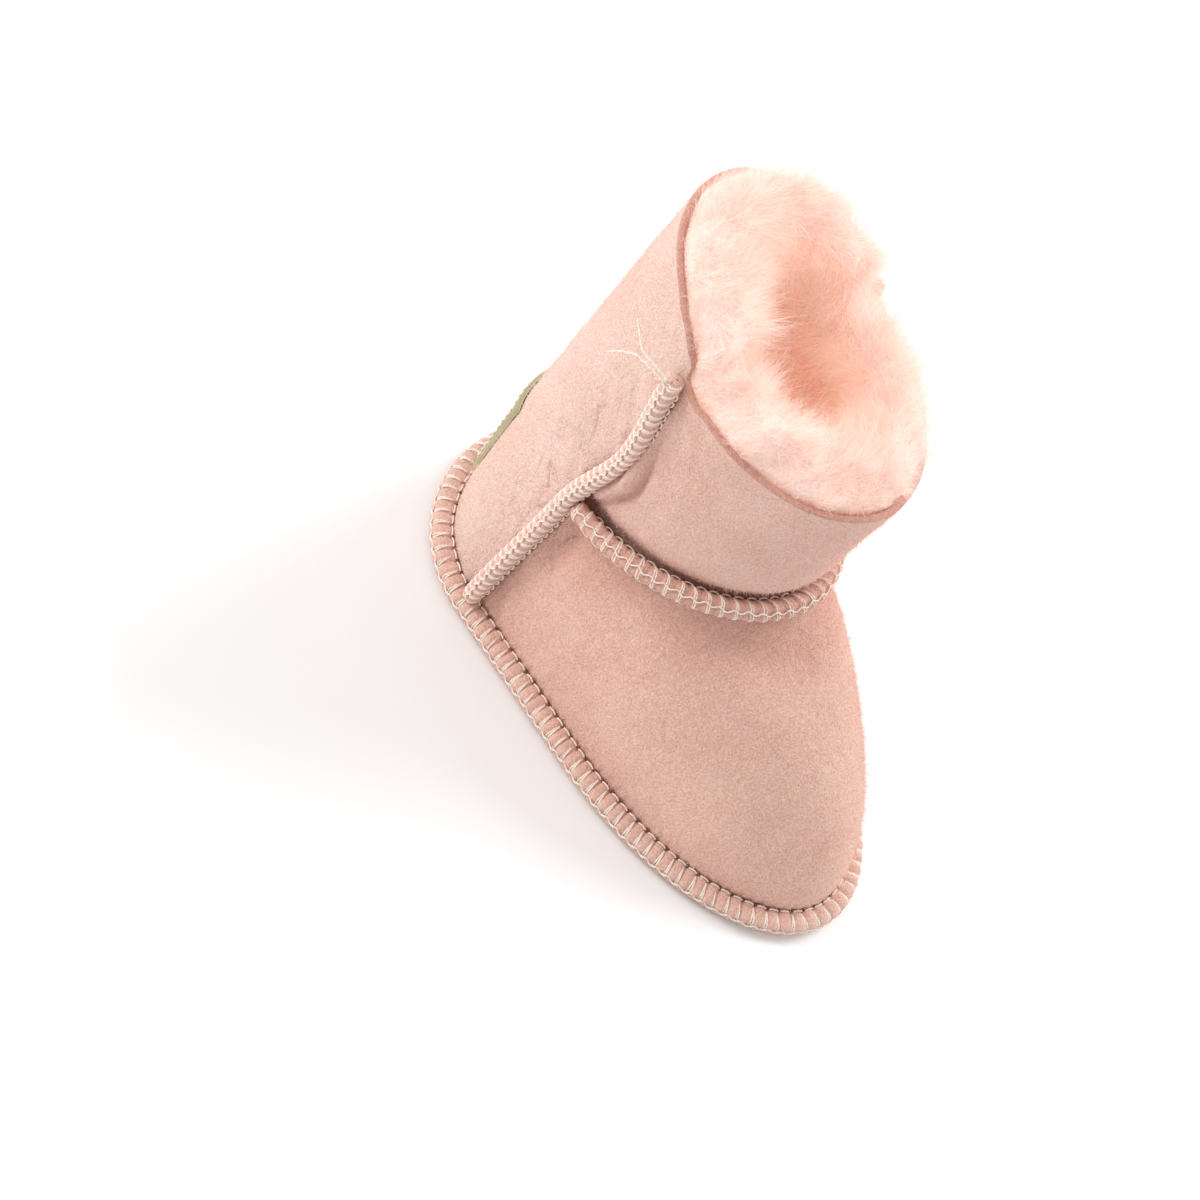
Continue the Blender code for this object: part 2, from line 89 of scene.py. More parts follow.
class NodeDesk:
    """Adds and joins shader nodes in one material."""

    def __init__(self, name: str) -> None:
        """Start an empty material.

        Args:
            name: the material's name.
        """
        self.material = bpy.data.materials.new(name)
        self.material.use_nodes = True
        self.tree = self.material.node_tree
        self.shader = self.tree.nodes["Principled BSDF"]
        self.place = self.add("ShaderNodeTexCoord").outputs["Object"]

    def add(self, kind: str, **values: object) -> bpy.types.Node:
        """Add a node.

        Args:
            kind: the node's type name.
            values: its properties.

        Returns:
            The new node.
        """
        node = self.tree.nodes.new(kind)
        for name, value in values.items():
            setattr(node, name, value)
        return node

    def join(self, output: bpy.types.NodeSocket, target: bpy.types.NodeSocket) -> None:
        """Link one socket to another."""
        self.tree.links.new(output, target)

    def cloud(self, scale: float, detail: float = 2.0, rough: float = 0.5,
              stretch: Sequence[float] = UNSTRETCHED) -> bpy.types.NodeSocket:
        """Soft noise over the object.

        Args:
            scale: spots per metre.
            detail: number of finer layers.
            rough: strength of the finer layers.
            stretch: scale along X, Y and Z.

        Returns:
            The noise value's socket.
        """
        mapping = self.add("ShaderNodeMapping")
        mapping.inputs["Scale"].default_value = stretch
        self.join(self.place, mapping.inputs["Vector"])
        node = self.add("ShaderNodeTexNoise")
        node.inputs["Scale"].default_value = scale
        node.inputs["Detail"].default_value = detail
        node.inputs["Roughness"].default_value = rough
        self.join(mapping.outputs["Vector"], node.inputs["Vector"])
        return node.outputs["Fac"]

    def ramp(self, source: bpy.types.NodeSocket, stops: Sequence[tuple]) -> bpy.types.NodeSocket:
        """Colour a value.

        Args:
            source: the value's socket.
            stops: pairs of a position and a linear colour.

        Returns:
            The colour's socket.
        """
        node = self.add("ShaderNodeValToRGB")
        band = node.color_ramp
        band.elements[0].position, band.elements[-1].position = stops[0][0], stops[-1][0]
        for position, _ in stops[1:-1]:
            band.elements.new(position)
        for element, (_, colour) in zip(band.elements, stops):
            element.color = (*colour, 1)
        self.join(source, node.inputs["Fac"])
        return node.outputs["Color"]

    def blend(self, amount: bpy.types.NodeSocket | float, first: bpy.types.NodeSocket,
              second: bpy.types.NodeSocket, mode: str = "MIX") -> bpy.types.NodeSocket:
        """Mix two colours.

        Args:
            amount: share of the second colour, as a socket or a number.
            first: the first colour.
            second: the second colour.
            mode: how they mix.

        Returns:
            The mixed colour's socket.
        """
        node = self.add("ShaderNodeMix", data_type="RGBA", blend_type=mode)
        if isinstance(amount, float):
            node.inputs[MIX_SHARE].default_value = amount
        else:
            self.join(amount, node.inputs[MIX_SHARE])
        self.join(first, node.inputs[MIX_FIRST])
        self.join(second, node.inputs[MIX_SECOND])
        return node.outputs[MIX_RESULT]

    def bump(self, height: bpy.types.NodeSocket, depth: float, strength: float = 1.0,
             under: bpy.types.NodeSocket | None = None) -> bpy.types.NodeSocket:
        """Relief from a height.

        Args:
            height: the height's socket.
            depth: the relief's depth in metres.
            strength: share of the relief that shows.
            under: a coarser relief that this one lies on.

        Returns:
            The bent normal's socket.
        """
        node = self.add("ShaderNodeBump")
        node.inputs["Distance"].default_value = depth
        node.inputs["Strength"].default_value = strength
        self.join(height, node.inputs["Height"])
        if under is not None:
            self.join(under, node.inputs["Normal"])
        return node.outputs["Normal"]

    def surface(self, roughness: float, sheen: float = 0.0, sheen_roughness: float = 0.5,
                sheen_tint: Sequence[float] = (1, 1, 1), specular: float = 0.5) -> None:
        """Set the plain values of the shader.

        Args:
            roughness: how matte it is.
            sheen: strength of the soft shine at its rim.
            sheen_roughness: how wide that shine spreads.
            sheen_tint: its colour.
            specular: strength of plain reflections.
        """
        put = self.shader.inputs
        put["Roughness"].default_value = roughness
        put["Sheen Weight"].default_value = sheen
        put["Sheen Roughness"].default_value = sheen_roughness
        put["Sheen Tint"].default_value = (*sheen_tint, 1)
        put["Specular IOR Level"].default_value = specular

    def painted_glow(self, colour: Sequence[float], strength: float) -> None:
        """Painted glow: emission that stands in for light scattered through thin fibres and leaving
        them again.
        """
        self.shader.inputs["Emission Color"].default_value = (*colour, 1)
        self.shader.inputs["Emission Strength"].default_value = strength


def toned(colour: Sequence[float], factor: float, lift: float = 0.0) -> tuple:
    """A colour made lighter or darker."""
    return tuple(min(1.0, factor * channel + lift) for channel in colour)


@dataclass(frozen=True)
class Suede:
    """Brushed hide: a short nap, soft blotches and fine creases."""

    name: str
    light: tuple = (0.870, 0.585, 0.485)
    deep: tuple = (0.600, 0.300, 0.235)
    grain: float = 2300.0
    nap_depth: float = 0.00055
    blotch: float = 55.0
    crease: float = 260.0
    crease_depth: float = 0.0016
    fleck_share: float = 0.46
    sheen_tint: tuple = (1.0, 0.85, 0.80)

    def material(self) -> bpy.types.Material:
        """Make the material.

        Returns:
            The suede material.
        """
        desk = NodeDesk(self.name)
        middle = tuple(0.6 * a + 0.4 * b for a, b in zip(self.light, self.deep))
        pale = toned(self.light, 1.14, 0.02)
        patches = desk.ramp(desk.cloud(self.blotch, 3), [(0.32, middle), (0.60, self.light)])
        nap = desk.cloud(self.grain, 3, 0.6)
        flecks = desk.ramp(nap, [(0.36, self.deep), (0.49, middle), (0.62, pale)])
        brushed = desk.blend(self.fleck_share, patches, flecks)
        # Painted shade: a number stored on the hide darkens the nap beside the side seams, under
        # the instep seam and in the front panel's tuck and groove.
        painted_shade_share = desk.add("ShaderNodeAttribute", attribute_name="painted_shade").outputs["Fac"]
        darkened = desk.ramp(nap, [(0.40, self.deep), (0.75, middle)])
        desk.join(desk.blend(painted_shade_share, brushed, darkened), desk.shader.inputs["Base Color"])
        creases = desk.cloud(self.crease, 4, 0.55, (1.0, 1.0, 0.6))
        coarse = desk.bump(creases, self.crease_depth, strength=0.5)
        fine = desk.bump(nap, self.nap_depth, strength=0.8, under=coarse)
        desk.join(fine, desk.shader.inputs["Normal"])
        desk.surface(roughness=0.95, sheen=0.15, sheen_roughness=0.40,
                     sheen_tint=self.sheen_tint, specular=0.10)
        return desk.material


@dataclass(frozen=True)
class Pile:
    """Thick wool seen as one soft mass."""

    name: str
    light: tuple = (0.985, 0.845, 0.780)
    deep: tuple = (0.970, 0.755, 0.670)
    root_and_shade: tuple = (0.980, 0.600, 0.430)
    # Painted glow: the wool gives off this colour at this strength, in place of light scattered
    # through it.
    scatter: tuple = (1.0, 0.58, 0.48)
    strength: float = 0.12
    lock: float = 420.0
    lock_depth: float = 0.0020
    curl: float = 2600.0
    curl_depth: float = 0.0004
    sheen_tint: tuple = (1.0, 0.85, 0.78)

    def material(self) -> bpy.types.Material:
        """Make the material.

        Returns:
            The wool material.
        """
        desk = NodeDesk(self.name)
        locks = desk.cloud(self.lock, 4, 0.6)
        open_wool = desk.ramp(locks, [(0.32, self.deep), (0.62, self.light)])
        deep_and_shaded_wool = desk.ramp(locks, [(0.32, self.root_and_shade), (0.80, self.deep)])
        # Partly the wool's deeper root colour, partly painted shade: a number stored on the pile
        # blends in a warmer, darker wool in the gap behind the rim and deep down the opening.
        depth = desk.add("ShaderNodeAttribute", attribute_name="depth").outputs["Fac"]
        desk.join(desk.blend(depth, open_wool, deep_and_shaded_wool), desk.shader.inputs["Base Color"])
        curls = desk.cloud(self.curl, 2, 0.6, (1.0, 1.0, 0.35))
        coarse = desk.bump(locks, self.lock_depth, strength=0.7)
        fine = desk.bump(curls, self.curl_depth, strength=0.7, under=coarse)
        desk.join(fine, desk.shader.inputs["Normal"])
        desk.surface(roughness=1.0, sheen=0.10, sheen_roughness=0.6,
                     sheen_tint=self.sheen_tint, specular=0.02)
        desk.painted_glow(self.scatter, self.strength)
        return desk.material


@dataclass(frozen=True)
class Fibre:
    """Single wool fibres, one even colour along each."""

    name: str
    colour: tuple = (0.985, 0.855, 0.800)
    # Painted glow: the fibres give off this colour at this strength, in place of light scattered
    # through them.
    scatter: tuple = (1.0, 0.64, 0.54)
    strength: float = 0.14

    def material(self) -> bpy.types.Material:
        """Make the material.

        Returns:
            The fibre material.
        """
        desk = NodeDesk(self.name)
        desk.shader.inputs["Base Color"].default_value = (*self.colour, 1)
        desk.surface(roughness=0.9, sheen_tint=(1.0, 0.95, 0.92), specular=0.05)
        desk.painted_glow(self.scatter, self.strength)
        return desk.material


@dataclass(frozen=True)
class Thread:
    """Spun cotton: fine twisted plies."""

    name: str
    light: tuple = (0.970, 0.860, 0.770)
    deep: tuple = (0.800, 0.620, 0.520)
    ply: float = 3200.0
    ply_depth: float = 0.00012

    def material(self) -> bpy.types.Material:
        """Make the material.

        Returns:
            The thread material.
        """
        desk = NodeDesk(self.name)
        plies = desk.cloud(self.ply, 2, 0.5, (1.0, 0.6, 1.0))
        colour = desk.ramp(plies, [(0.30, self.deep), (0.55, self.light)])
        desk.join(colour, desk.shader.inputs["Base Color"])
        twisted = desk.bump(plies, self.ply_depth, strength=0.8)
        desk.join(twisted, desk.shader.inputs["Normal"])
        desk.surface(roughness=0.7, sheen=0.2, sheen_roughness=0.4,
                     sheen_tint=(1.0, 0.95, 0.9), specular=0.3)
        return desk.material


@dataclass(frozen=True)
class WovenTape:
    """Narrow woven tape: warp and weft over its own map."""

    name: str
    ground: tuple = (0.480, 0.430, 0.240)
    figure: tuple = (0.700, 0.600, 0.380)
    warps: float = 90.0
    yarn_depth: float = 0.00020
    figure_size: float = 700.0

    def material(self) -> bpy.types.Material:
        """Make the material.

        Returns:
            The tape's material.
        """
        desk = NodeDesk(self.name)
        own = desk.add("ShaderNodeTexCoord").outputs["UV"]
        waves = []
        for direction in ("X", "Y"):
            wave = desk.add("ShaderNodeTexWave", bands_direction=direction)
            wave.inputs["Scale"].default_value = self.warps / math.tau
            desk.join(own, wave.inputs["Vector"])
            waves.append(wave.outputs["Color"])
        weave = desk.blend(1.0, waves[0], waves[1], "MULTIPLY")
        yarns = desk.ramp(weave, [(0.0, toned(self.ground, 0.6)), (0.5, self.ground)])
        figure = desk.ramp(weave, [(0.0, self.ground), (0.5, self.figure)])
        mixed = desk.blend(desk.cloud(self.figure_size, 3), yarns, figure)
        desk.join(mixed, desk.shader.inputs["Base Color"])
        desk.join(desk.bump(weave, self.yarn_depth), desk.shader.inputs["Normal"])
        desk.surface(roughness=0.8, sheen=0.15, sheen_roughness=0.5)
        return desk.material


@dataclass(frozen=True)
class Plain:
    """One even surface, for the stage and for the painted shade of needle holes."""

    name: str
    colour: tuple
    roughness: float = 0.9

    def material(self) -> bpy.types.Material:
        """Make the material.

        Returns:
            The plain material.
        """
        desk = NodeDesk(self.name)
        desk.shader.inputs["Base Color"].default_value = (*self.colour, 1)
        desk.surface(self.roughness)
        return desk.material


# ------------------------------------------------------------------ shape of the upper

def reached(points: np.ndarray) -> np.ndarray:
    """Length reached at each point of a run."""
    return np.concatenate([[0], np.cumsum(np.linalg.norm(np.diff(points, axis=0), axis=1))])


def read_rows(rows: np.ndarray, marks: np.ndarray, places: np.ndarray) -> np.ndarray:
    """Rows read between their marks.

    Args:
        rows: one row for each mark.
        marks: rising numbers.
        places: numbers within the marks.

    Returns:
        One row for each place.
    """
    return np.stack([np.interp(places, marks, column) for column in rows.T], axis=1)


@dataclass(frozen=True)
class Arc:
    """A flat run of points that can be read at any share of its length."""

    points: np.ndarray
    step: float = 0.01

    def at(self, share: np.ndarray) -> np.ndarray:
        """Points at shares of the length.

        Args:
            share: numbers from 0 to 1.

        Returns:
            One X, Y pair for each share.
        """
        return read_rows(self.points, reached(self.points) / self.length(), share)

    def length(self) -> float:
        """Length of the run."""
        return float(reached(self.points)[-1])

    def facing(self, share: np.ndarray) -> np.ndarray:
        """Level directions square to the run.

        Args:
            share: numbers from 0 to 1.

        Returns:
            One unit direction in three dimensions for each share.
        """
        ahead = (self.at(np.minimum(share + self.step, 1))
                 - self.at(np.maximum(share - self.step, 0)))
        side = np.stack([-ahead[:, 1], ahead[:, 0], np.zeros(len(ahead))], axis=1)
        return side / np.linalg.norm(side, axis=1)[:, None]


def ellipse(centre_y: float, half_width: float, reach: float, start: float,
            end: float) -> np.ndarray:
    """Points of an ellipse arc; angle 0 is the right side and a quarter turn the heel.

    Args:
        centre_y: the ellipse's middle.
        half_width: its radius across.
        reach: its radius along Y.
        start: first angle.
        end: last angle.

    Returns:
        X, Y pairs.
    """
    angle = np.linspace(start, end, ARC_POINTS)
    return np.stack([-half_width * np.cos(angle), centre_y + reach * np.sin(angle)], axis=1)


def hump(around: np.ndarray) -> np.ndarray:
    """0 at the side seams and 1 half way between them."""
    return np.sin(np.pi * np.clip(around, 0, 1))


def smooth(value: np.ndarray) -> np.ndarray:
    """Ease from 0 to 1 as the value does."""
    value = np.clip(value, 0, 1)
    return value * value * (3 - 2 * value)


@dataclass(frozen=True)
class Band:
    """A soft band: how high it stands, where its middle lies and how wide it is."""

    height: float
    middle: float
    width: float
    power: int = 2

    def at(self, value: np.ndarray) -> np.ndarray:
        """Height of the band at each value."""
        return self.height * np.exp(-((value - self.middle) / self.width) ** self.power)


@dataclass(frozen=True)
class Ripple:
    """One layer of soft noise: its height, its spots per metre and its pattern."""

    height: float
    scale: float
    seed: int

    def heights(self, points: np.ndarray) -> np.ndarray:
        """One height, up or down, for each point."""
        return self.height * soft_noise(points, self.scale, self.seed)

    def shifts(self, points: np.ndarray) -> np.ndarray:
        """One move in space for each point."""
        return self.height * noise_vectors(points, self.scale, self.seed)


@dataclass(frozen=True)
class UpperForm:
    """The outer surface of the upper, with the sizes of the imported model."""

    hide: float = 0.0015
    flange: float = 0.0045
    seam_y: float = 0.0316
    toe_centre_y: float = -0.0054
    shaft_y: float = 0.0264
    shaft_half_length: float = 0.0335
    shaft_half_width: float = 0.0262
    flare: float = 0.03
    junction_z: float = 0.0435
    instep_lift: float = 0.0065
    rim_seam_z: float = 0.090
    front_drop: float = 0.004
    rim_ease: float = 0.35
    sway: float = 0.003
    sway_reach: float = 0.2
    fin: float = 0.0040
    fin_lean: float = math.radians(45)
    lift: float = 0.0009
    side_tangent: float = 0.013
    toe_tangent: float = 0.018
    bulge: float = 0.10
    instep_tangent: float = 0.016
    instep_sharpness: float = 1.5
    toe_sharpness: float = 3
    toe_slope: float = 0.65
    edge_gap: float = 0.0003
    over_rim: float = 1.2
    step: float = 0.004
    sole_low: Vector = field(default_factory=lambda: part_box("sole_hide")[0])
    sole_high: Vector = field(default_factory=lambda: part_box("sole_hide")[1])
    rim_z: float = field(default_factory=lambda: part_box("back_panel_hide")[1].z)

    @property
    def flange_top(self) -> float:
        """Height of the upper's turned edge on the sole."""
        return self.lift + 2 * self.hide + self.edge_gap

    def back_sole(self, inset: float) -> Arc:
        """Sole outline round the heel, moved inward."""
        half, reach = self.sole_high.x - inset, self.sole_high.y - self.seam_y - inset
        return Arc(ellipse(self.seam_y, half, reach, 0, math.pi))

    def front_sole(self, inset: float) -> Arc:
        """Sole outline round the toe.

        Args:
            inset: how far it is moved inward.

        Returns:
            The run from the right side seam round the toe to the left one.
        """
        half, reach = self.sole_high.x - inset, self.toe_centre_y - self.sole_low.y - inset
        toe = ellipse(self.toe_centre_y, half, reach, 0, -math.pi)
        ends = np.array([[-half, self.seam_y]]), np.array([[half, self.seam_y]])
        return Arc(np.concatenate([ends[0], toe, ends[1]]))

    def shaft(self, front: bool) -> Arc:
        """The shaft's outline at the height of the instep seam's ends.

        Args:
            front: whether the front run is wanted and not the back run.

        Returns:
            The run from the right side seam to the left one.
        """
        start = math.asin((self.seam_y - self.shaft_y) / self.shaft_half_length)
        end = -math.pi - start if front else math.pi - start
        return Arc(ellipse(self.shaft_y, self.shaft_half_width, self.shaft_half_length, start, end))

    def outward(self, around: np.ndarray, front: bool) -> np.ndarray:
        """Level directions away from the shaft."""
        facing = self.shaft(front).facing(around)
        return -facing if front else facing

    def shaft_point(self, front: bool, around: np.ndarray, height: np.ndarray) -> np.ndarray:
        """Outer surface of the shaft.

        Args:
            front: whether the place is on the front run.
            around: places round the run.
            height: heights of the places.

        Returns:
            One point for each place.
        """
        flat = self.shaft(front).at(around)
        share = (height - self.junction_z) / (self.rim_seam_z - self.junction_z)
        edge = np.clip(1 - np.minimum(around, 1 - around) / self.sway_reach, 0, 1) ** 2
        drift = -self.sway * np.sin(np.pi * np.clip(share, 0, 1)) ** 2 * edge
        wider = 1 + self.flare * share
        y = self.shaft_y + (flat[:, 1] - self.shaft_y) * wider + drift
        return np.stack([flat[:, 0] * wider, y, height], axis=1)

    def rim_height(self, front: bool, around: np.ndarray) -> np.ndarray:
        """Height of the cut edge at the top."""
        change = -self.front_drop if front else self.rim_z - self.rim_seam_z
        return self.rim_seam_z + change * hump(around) ** self.rim_ease

    @staticmethod
    def curve(start: np.ndarray, first: np.ndarray, second: np.ndarray, end: np.ndarray,
              share: np.ndarray) -> np.ndarray:
        """Points on cubic curves, one curve for each row.

        Args:
            start: where each curve starts.
            first: its first handle.
            second: its second handle.
            end: where it ends.
            share: how far along it the point lies.

        Returns:
            One point for each row.
        """
        share = share[:, None]
        back = 1 - share
        return (start * back ** 3 + first * 3 * back ** 2 * share
                + second * 3 * back * share ** 2 + end * share ** 3)

    def foot(self, arc: Arc, around: np.ndarray) -> np.ndarray:
        """Where a hide folds outward onto the sole edge."""
        flat = arc.at(around)
        return np.column_stack([flat, np.full(len(flat), self.flange_top)])

    def back(self, around: np.ndarray, rise: np.ndarray) -> np.ndarray:
        """Outer surface of the back panel.

        Args:
            around: places across the hide.
            rise: places up the hide.

        Returns:
            One point for each place.
        """
        up = np.array([0, 0, self.side_tangent])
        foot = self.foot(self.back_sole(self.flange), around)
        top = self.shaft_point(False, around, np.full(len(around), self.junction_z))
        swell = self.outward(around, False) * self.side_tangent * self.bulge
        low = self.curve(foot, foot + up + swell, top - up, top, np.clip(rise, 0, 1))
        rim = self.rim_height(False, around)
        height = self.junction_z + (rim - self.junction_z) * np.clip(rise - 1, 0, self.over_rim)
        high = self.shaft_point(False, around, height)
        return np.where((rise > 1)[:, None], high, low)

    def instep(self, around: np.ndarray) -> np.ndarray:
        """The seam between vamp and front panel."""
        arch = self.instep_lift * hump(around) ** self.instep_sharpness
        return self.shaft_point(True, around, self.junction_z + arch)

    def vamp(self, around: np.ndarray, rise: np.ndarray) -> np.ndarray:
        """Outer surface of the vamp.

        Args:
            around: places across the hide.
            rise: places up the hide.

        Returns:
            One point for each place.
        """
        foot = self.foot(self.front_sole(self.flange), around)
        top = self.instep(around)
        toe = (hump(around) ** self.toe_sharpness)[:, None]
        face = self.outward(around, True)
        up = np.array([0.0, 0.0, 1.0])
        first = foot + up * (self.side_tangent + (self.toe_tangent - self.side_tangent) * toe)
        first = first + face * self.side_tangent * self.bulge
        slope = -up * (1 - toe) + (face - self.toe_slope * up) * toe
        slope /= np.linalg.norm(slope, axis=1)[:, None]
        reach = self.side_tangent + (self.instep_tangent - self.side_tangent) * toe
        return self.curve(foot, first, top + slope * reach, top, rise)

    def front(self, around: np.ndarray, rise: np.ndarray) -> np.ndarray:
        """Outer surface of the front panel.

        Args:
            around: places across the hide.
            rise: places up the hide.

        Returns:
            One point for each place.
        """
        low = self.instep(around)[:, 2]
        height = low + (self.rim_height(True, around) - low) * (rise - 1)
        return self.shaft_point(True, around, height)

    def normals(self, surface: Surface, around: np.ndarray, rise: np.ndarray) -> np.ndarray:
        """Outward directions of a surface.

        Args:
            surface: one of the three hides' surfaces.
            around: places across the hide.
            rise: places up the hide.

        Returns:
            One unit direction for each place.
        """
        across = (surface(np.minimum(around + self.step, 1), rise)
                  - surface(np.maximum(around - self.step, 0), rise))
        upward = surface(around, rise + self.step) - surface(around, rise - self.step)
        normal = np.cross(across, upward)
        normal /= np.linalg.norm(normal, axis=1)[:, None]
        middle = np.array([0, self.toe_centre_y if surface == self.vamp else self.shaft_y, 0])
        away = surface(around, rise) - middle
        if surface != self.vamp:
            away[:, 2] = 0
        return normal * np.sign((normal * away).sum(axis=1))[:, None]


# ------------------------------------------------------------------ helpers for pieces

def pattern_shift(seed: float) -> Vector:
    """Where a pattern of soft noise is read from."""
    return Vector((seed * 7.3, seed * 3.1, seed * 5.7))


def soft_noise(points: np.ndarray, scale: float, seed: float = 0.0) -> np.ndarray:
    """Smooth noise at points.

    Args:
        points: places in metres.
        scale: spots per metre.
        seed: shifts the pattern.

    Returns:
        One value from about -1 to 1 for each point.
    """
    shift = pattern_shift(seed)
    return np.array([noise.noise(Vector(p) * scale + shift) for p in points])


def noise_vectors(points: np.ndarray, scale: float, seed: float = 0.0) -> np.ndarray:
    """Smooth random directions at points."""
    shift = pattern_shift(seed)
    return np.array([noise.noise_vector(Vector(p) * scale + shift) for p in points])


def settle(piece: bpy.types.Object, material: bpy.types.Material,
           nodes: Iterable[str]) -> bpy.types.Object:
    """Dress a piece, let it ride on the bootie, and hide the CAD nodes that it stands for.

    Args:
        piece: the finished object.
        material: its material.
        nodes: CAD nodes that it stands for.

    Returns:
        The same piece.
    """
    piece.data.materials.clear()
    piece.data.materials.append(material)
    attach(piece, "root")
    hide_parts(*nodes)
    return piece


def to_object(name: str, bm: bmesh.types.BMesh, smooth_faces: bool = True) -> bpy.types.Object:
    """Turn a bmesh into an object in the scene.

    Args:
        name: the object's name.
        bm: the mesh, which is freed.
        smooth_faces: whether faces are shaded smooth.

    Returns:
        The new object.
    """
    for face in bm.faces:
        face.smooth = smooth_faces
    mesh = bpy.data.meshes.new(name)
    bm.to_mesh(mesh)
    bm.free()
    piece = bpy.data.objects.new(name, mesh)
    bpy.context.scene.collection.objects.link(piece)
    return piece


def face_outward(bm: bmesh.types.BMesh, outward: Vector) -> None:
    """Turn the faces of an open sheet so that most of them face one way."""
    bmesh.ops.recalc_face_normals(bm, faces=bm.faces)
    if sum(face.calc_area() * face.normal.dot(outward) for face in bm.faces) < 0:
        bmesh.ops.reverse_faces(bm, faces=bm.faces)


def spread_sheet(columns: int, rows: int, place: Surface, wraps: bool = False) -> bmesh.types.BMesh:
    """A grid laid onto a surface.

    Args:
        columns: faces along the first number.
        rows: faces along the second number.
        place: gives points for two arrays of numbers from 0 to 1.
        wraps: whether the two sides meet and are merged.

    Returns:
        The laid mesh.
    """
    bm = bmesh.new()
    bmesh.ops.create_grid(bm, x_segments=columns, y_segments=rows, size=1)
    flat = np.array([vert.co for vert in bm.verts])
    spots = place((flat[:, 0] + 1) / 2, (flat[:, 1] + 1) / 2)
    for vert, spot in zip(bm.verts, spots):
        vert.co = spot
    if wraps:
        bmesh.ops.remove_doubles(bm, verts=bm.verts, dist=1e-6)
    return bm


def paint(piece: bpy.types.Object, label: str, columns: int, rows: int, amount: Surface) -> None:
    """Store a number on each point of a laid grid.

    Args:
        piece: the object made from the grid.
        label: the attribute's name.
        columns: the grid's faces along the first number.
        rows: its faces along the second number.
        amount: gives the values for two arrays of numbers from 0 to 1.
    """
    grid = bmesh.new()
    bmesh.ops.create_grid(grid, x_segments=columns, y_segments=rows, size=1)
    flat = (np.array([vert.co for vert in grid.verts]) + 1) / 2
    grid.free()
    values = amount(flat[:, 0], flat[:, 1])
    piece.data.attributes.new(label, "FLOAT", "POINT").data.foreach_set("value", values)


def strands(name: str, paths: Iterable[np.ndarray], radius: float, sides: int,
            widths: Sequence[float] | None = None) -> bpy.types.Object:
    """Many round threads in one mesh.

    Args:
        name: the object's name.
        paths: points of each thread.
        radius: their radius.
        sides: the curve's bevel resolution.
        widths: relative radius at each point, or none for an even thread.

    Returns:
        The mesh object.
    """
    curve = bpy.data.curves.new(name, "CURVE")
    curve.dimensions = "3D"
    curve.bevel_depth = radius
    curve.bevel_resolution = sides
    curve.use_fill_caps = True
    for path in paths:
        spline = curve.splines.new("POLY")
        spline.points.add(len(path) - 1)
        spline.points.foreach_set("co", np.column_stack([path, np.ones(len(path))]).ravel())
        if widths is not None:
            spline.points.foreach_set("radius", np.asarray(widths, float))
    return curve_to_mesh(name, curve)


def ribbons(name: str, paths: np.ndarray, width: float, tilts: np.ndarray) -> bpy.types.Object:
    """Many flat fibres that taper to a point, in one mesh.

    Args:
        name: the object's name.
        paths: points of each fibre, as one array.
        width: a fibre's half width at its root.
        tilts: turn of each fibre about its length.

    Returns:
        The mesh object.
    """
    curve = bpy.data.curves.new(name, "CURVE")
    curve.dimensions = "3D"
    curve.extrude = width
    taper = np.linspace(1, 0.15, paths.shape[1])
    for path, tilt in zip(paths, tilts):
        spline = curve.splines.new("POLY")
        spline.points.add(len(path) - 1)
        spline.points.foreach_set("co", np.column_stack([path, np.ones(len(path))]).ravel())
        spline.points.foreach_set("radius", taper)
        spline.points.foreach_set("tilt", np.full(len(path), tilt))
    return curve_to_mesh(name, curve)


def curve_to_mesh(name: str, curve: bpy.types.Curve) -> bpy.types.Object:
    """Replace a curve by the mesh that it draws.

    Args:
        name: the object's name.
        curve: the curve, which is removed.

    Returns:
        The mesh object.
    """
    drawn = bpy.data.objects.new(name + "_curve", curve)
    bpy.context.scene.collection.objects.link(drawn)
    graph = bpy.context.evaluated_depsgraph_get()
    mesh = bpy.data.meshes.new_from_object(drawn.evaluated_get(graph))
    bpy.data.objects.remove(drawn)
    bpy.data.curves.remove(curve)
    mesh.name = name
    piece = bpy.data.objects.new(name, mesh)
    bpy.context.scene.collection.objects.link(piece)
    return piece


# ------------------------------------------------------------------ hides

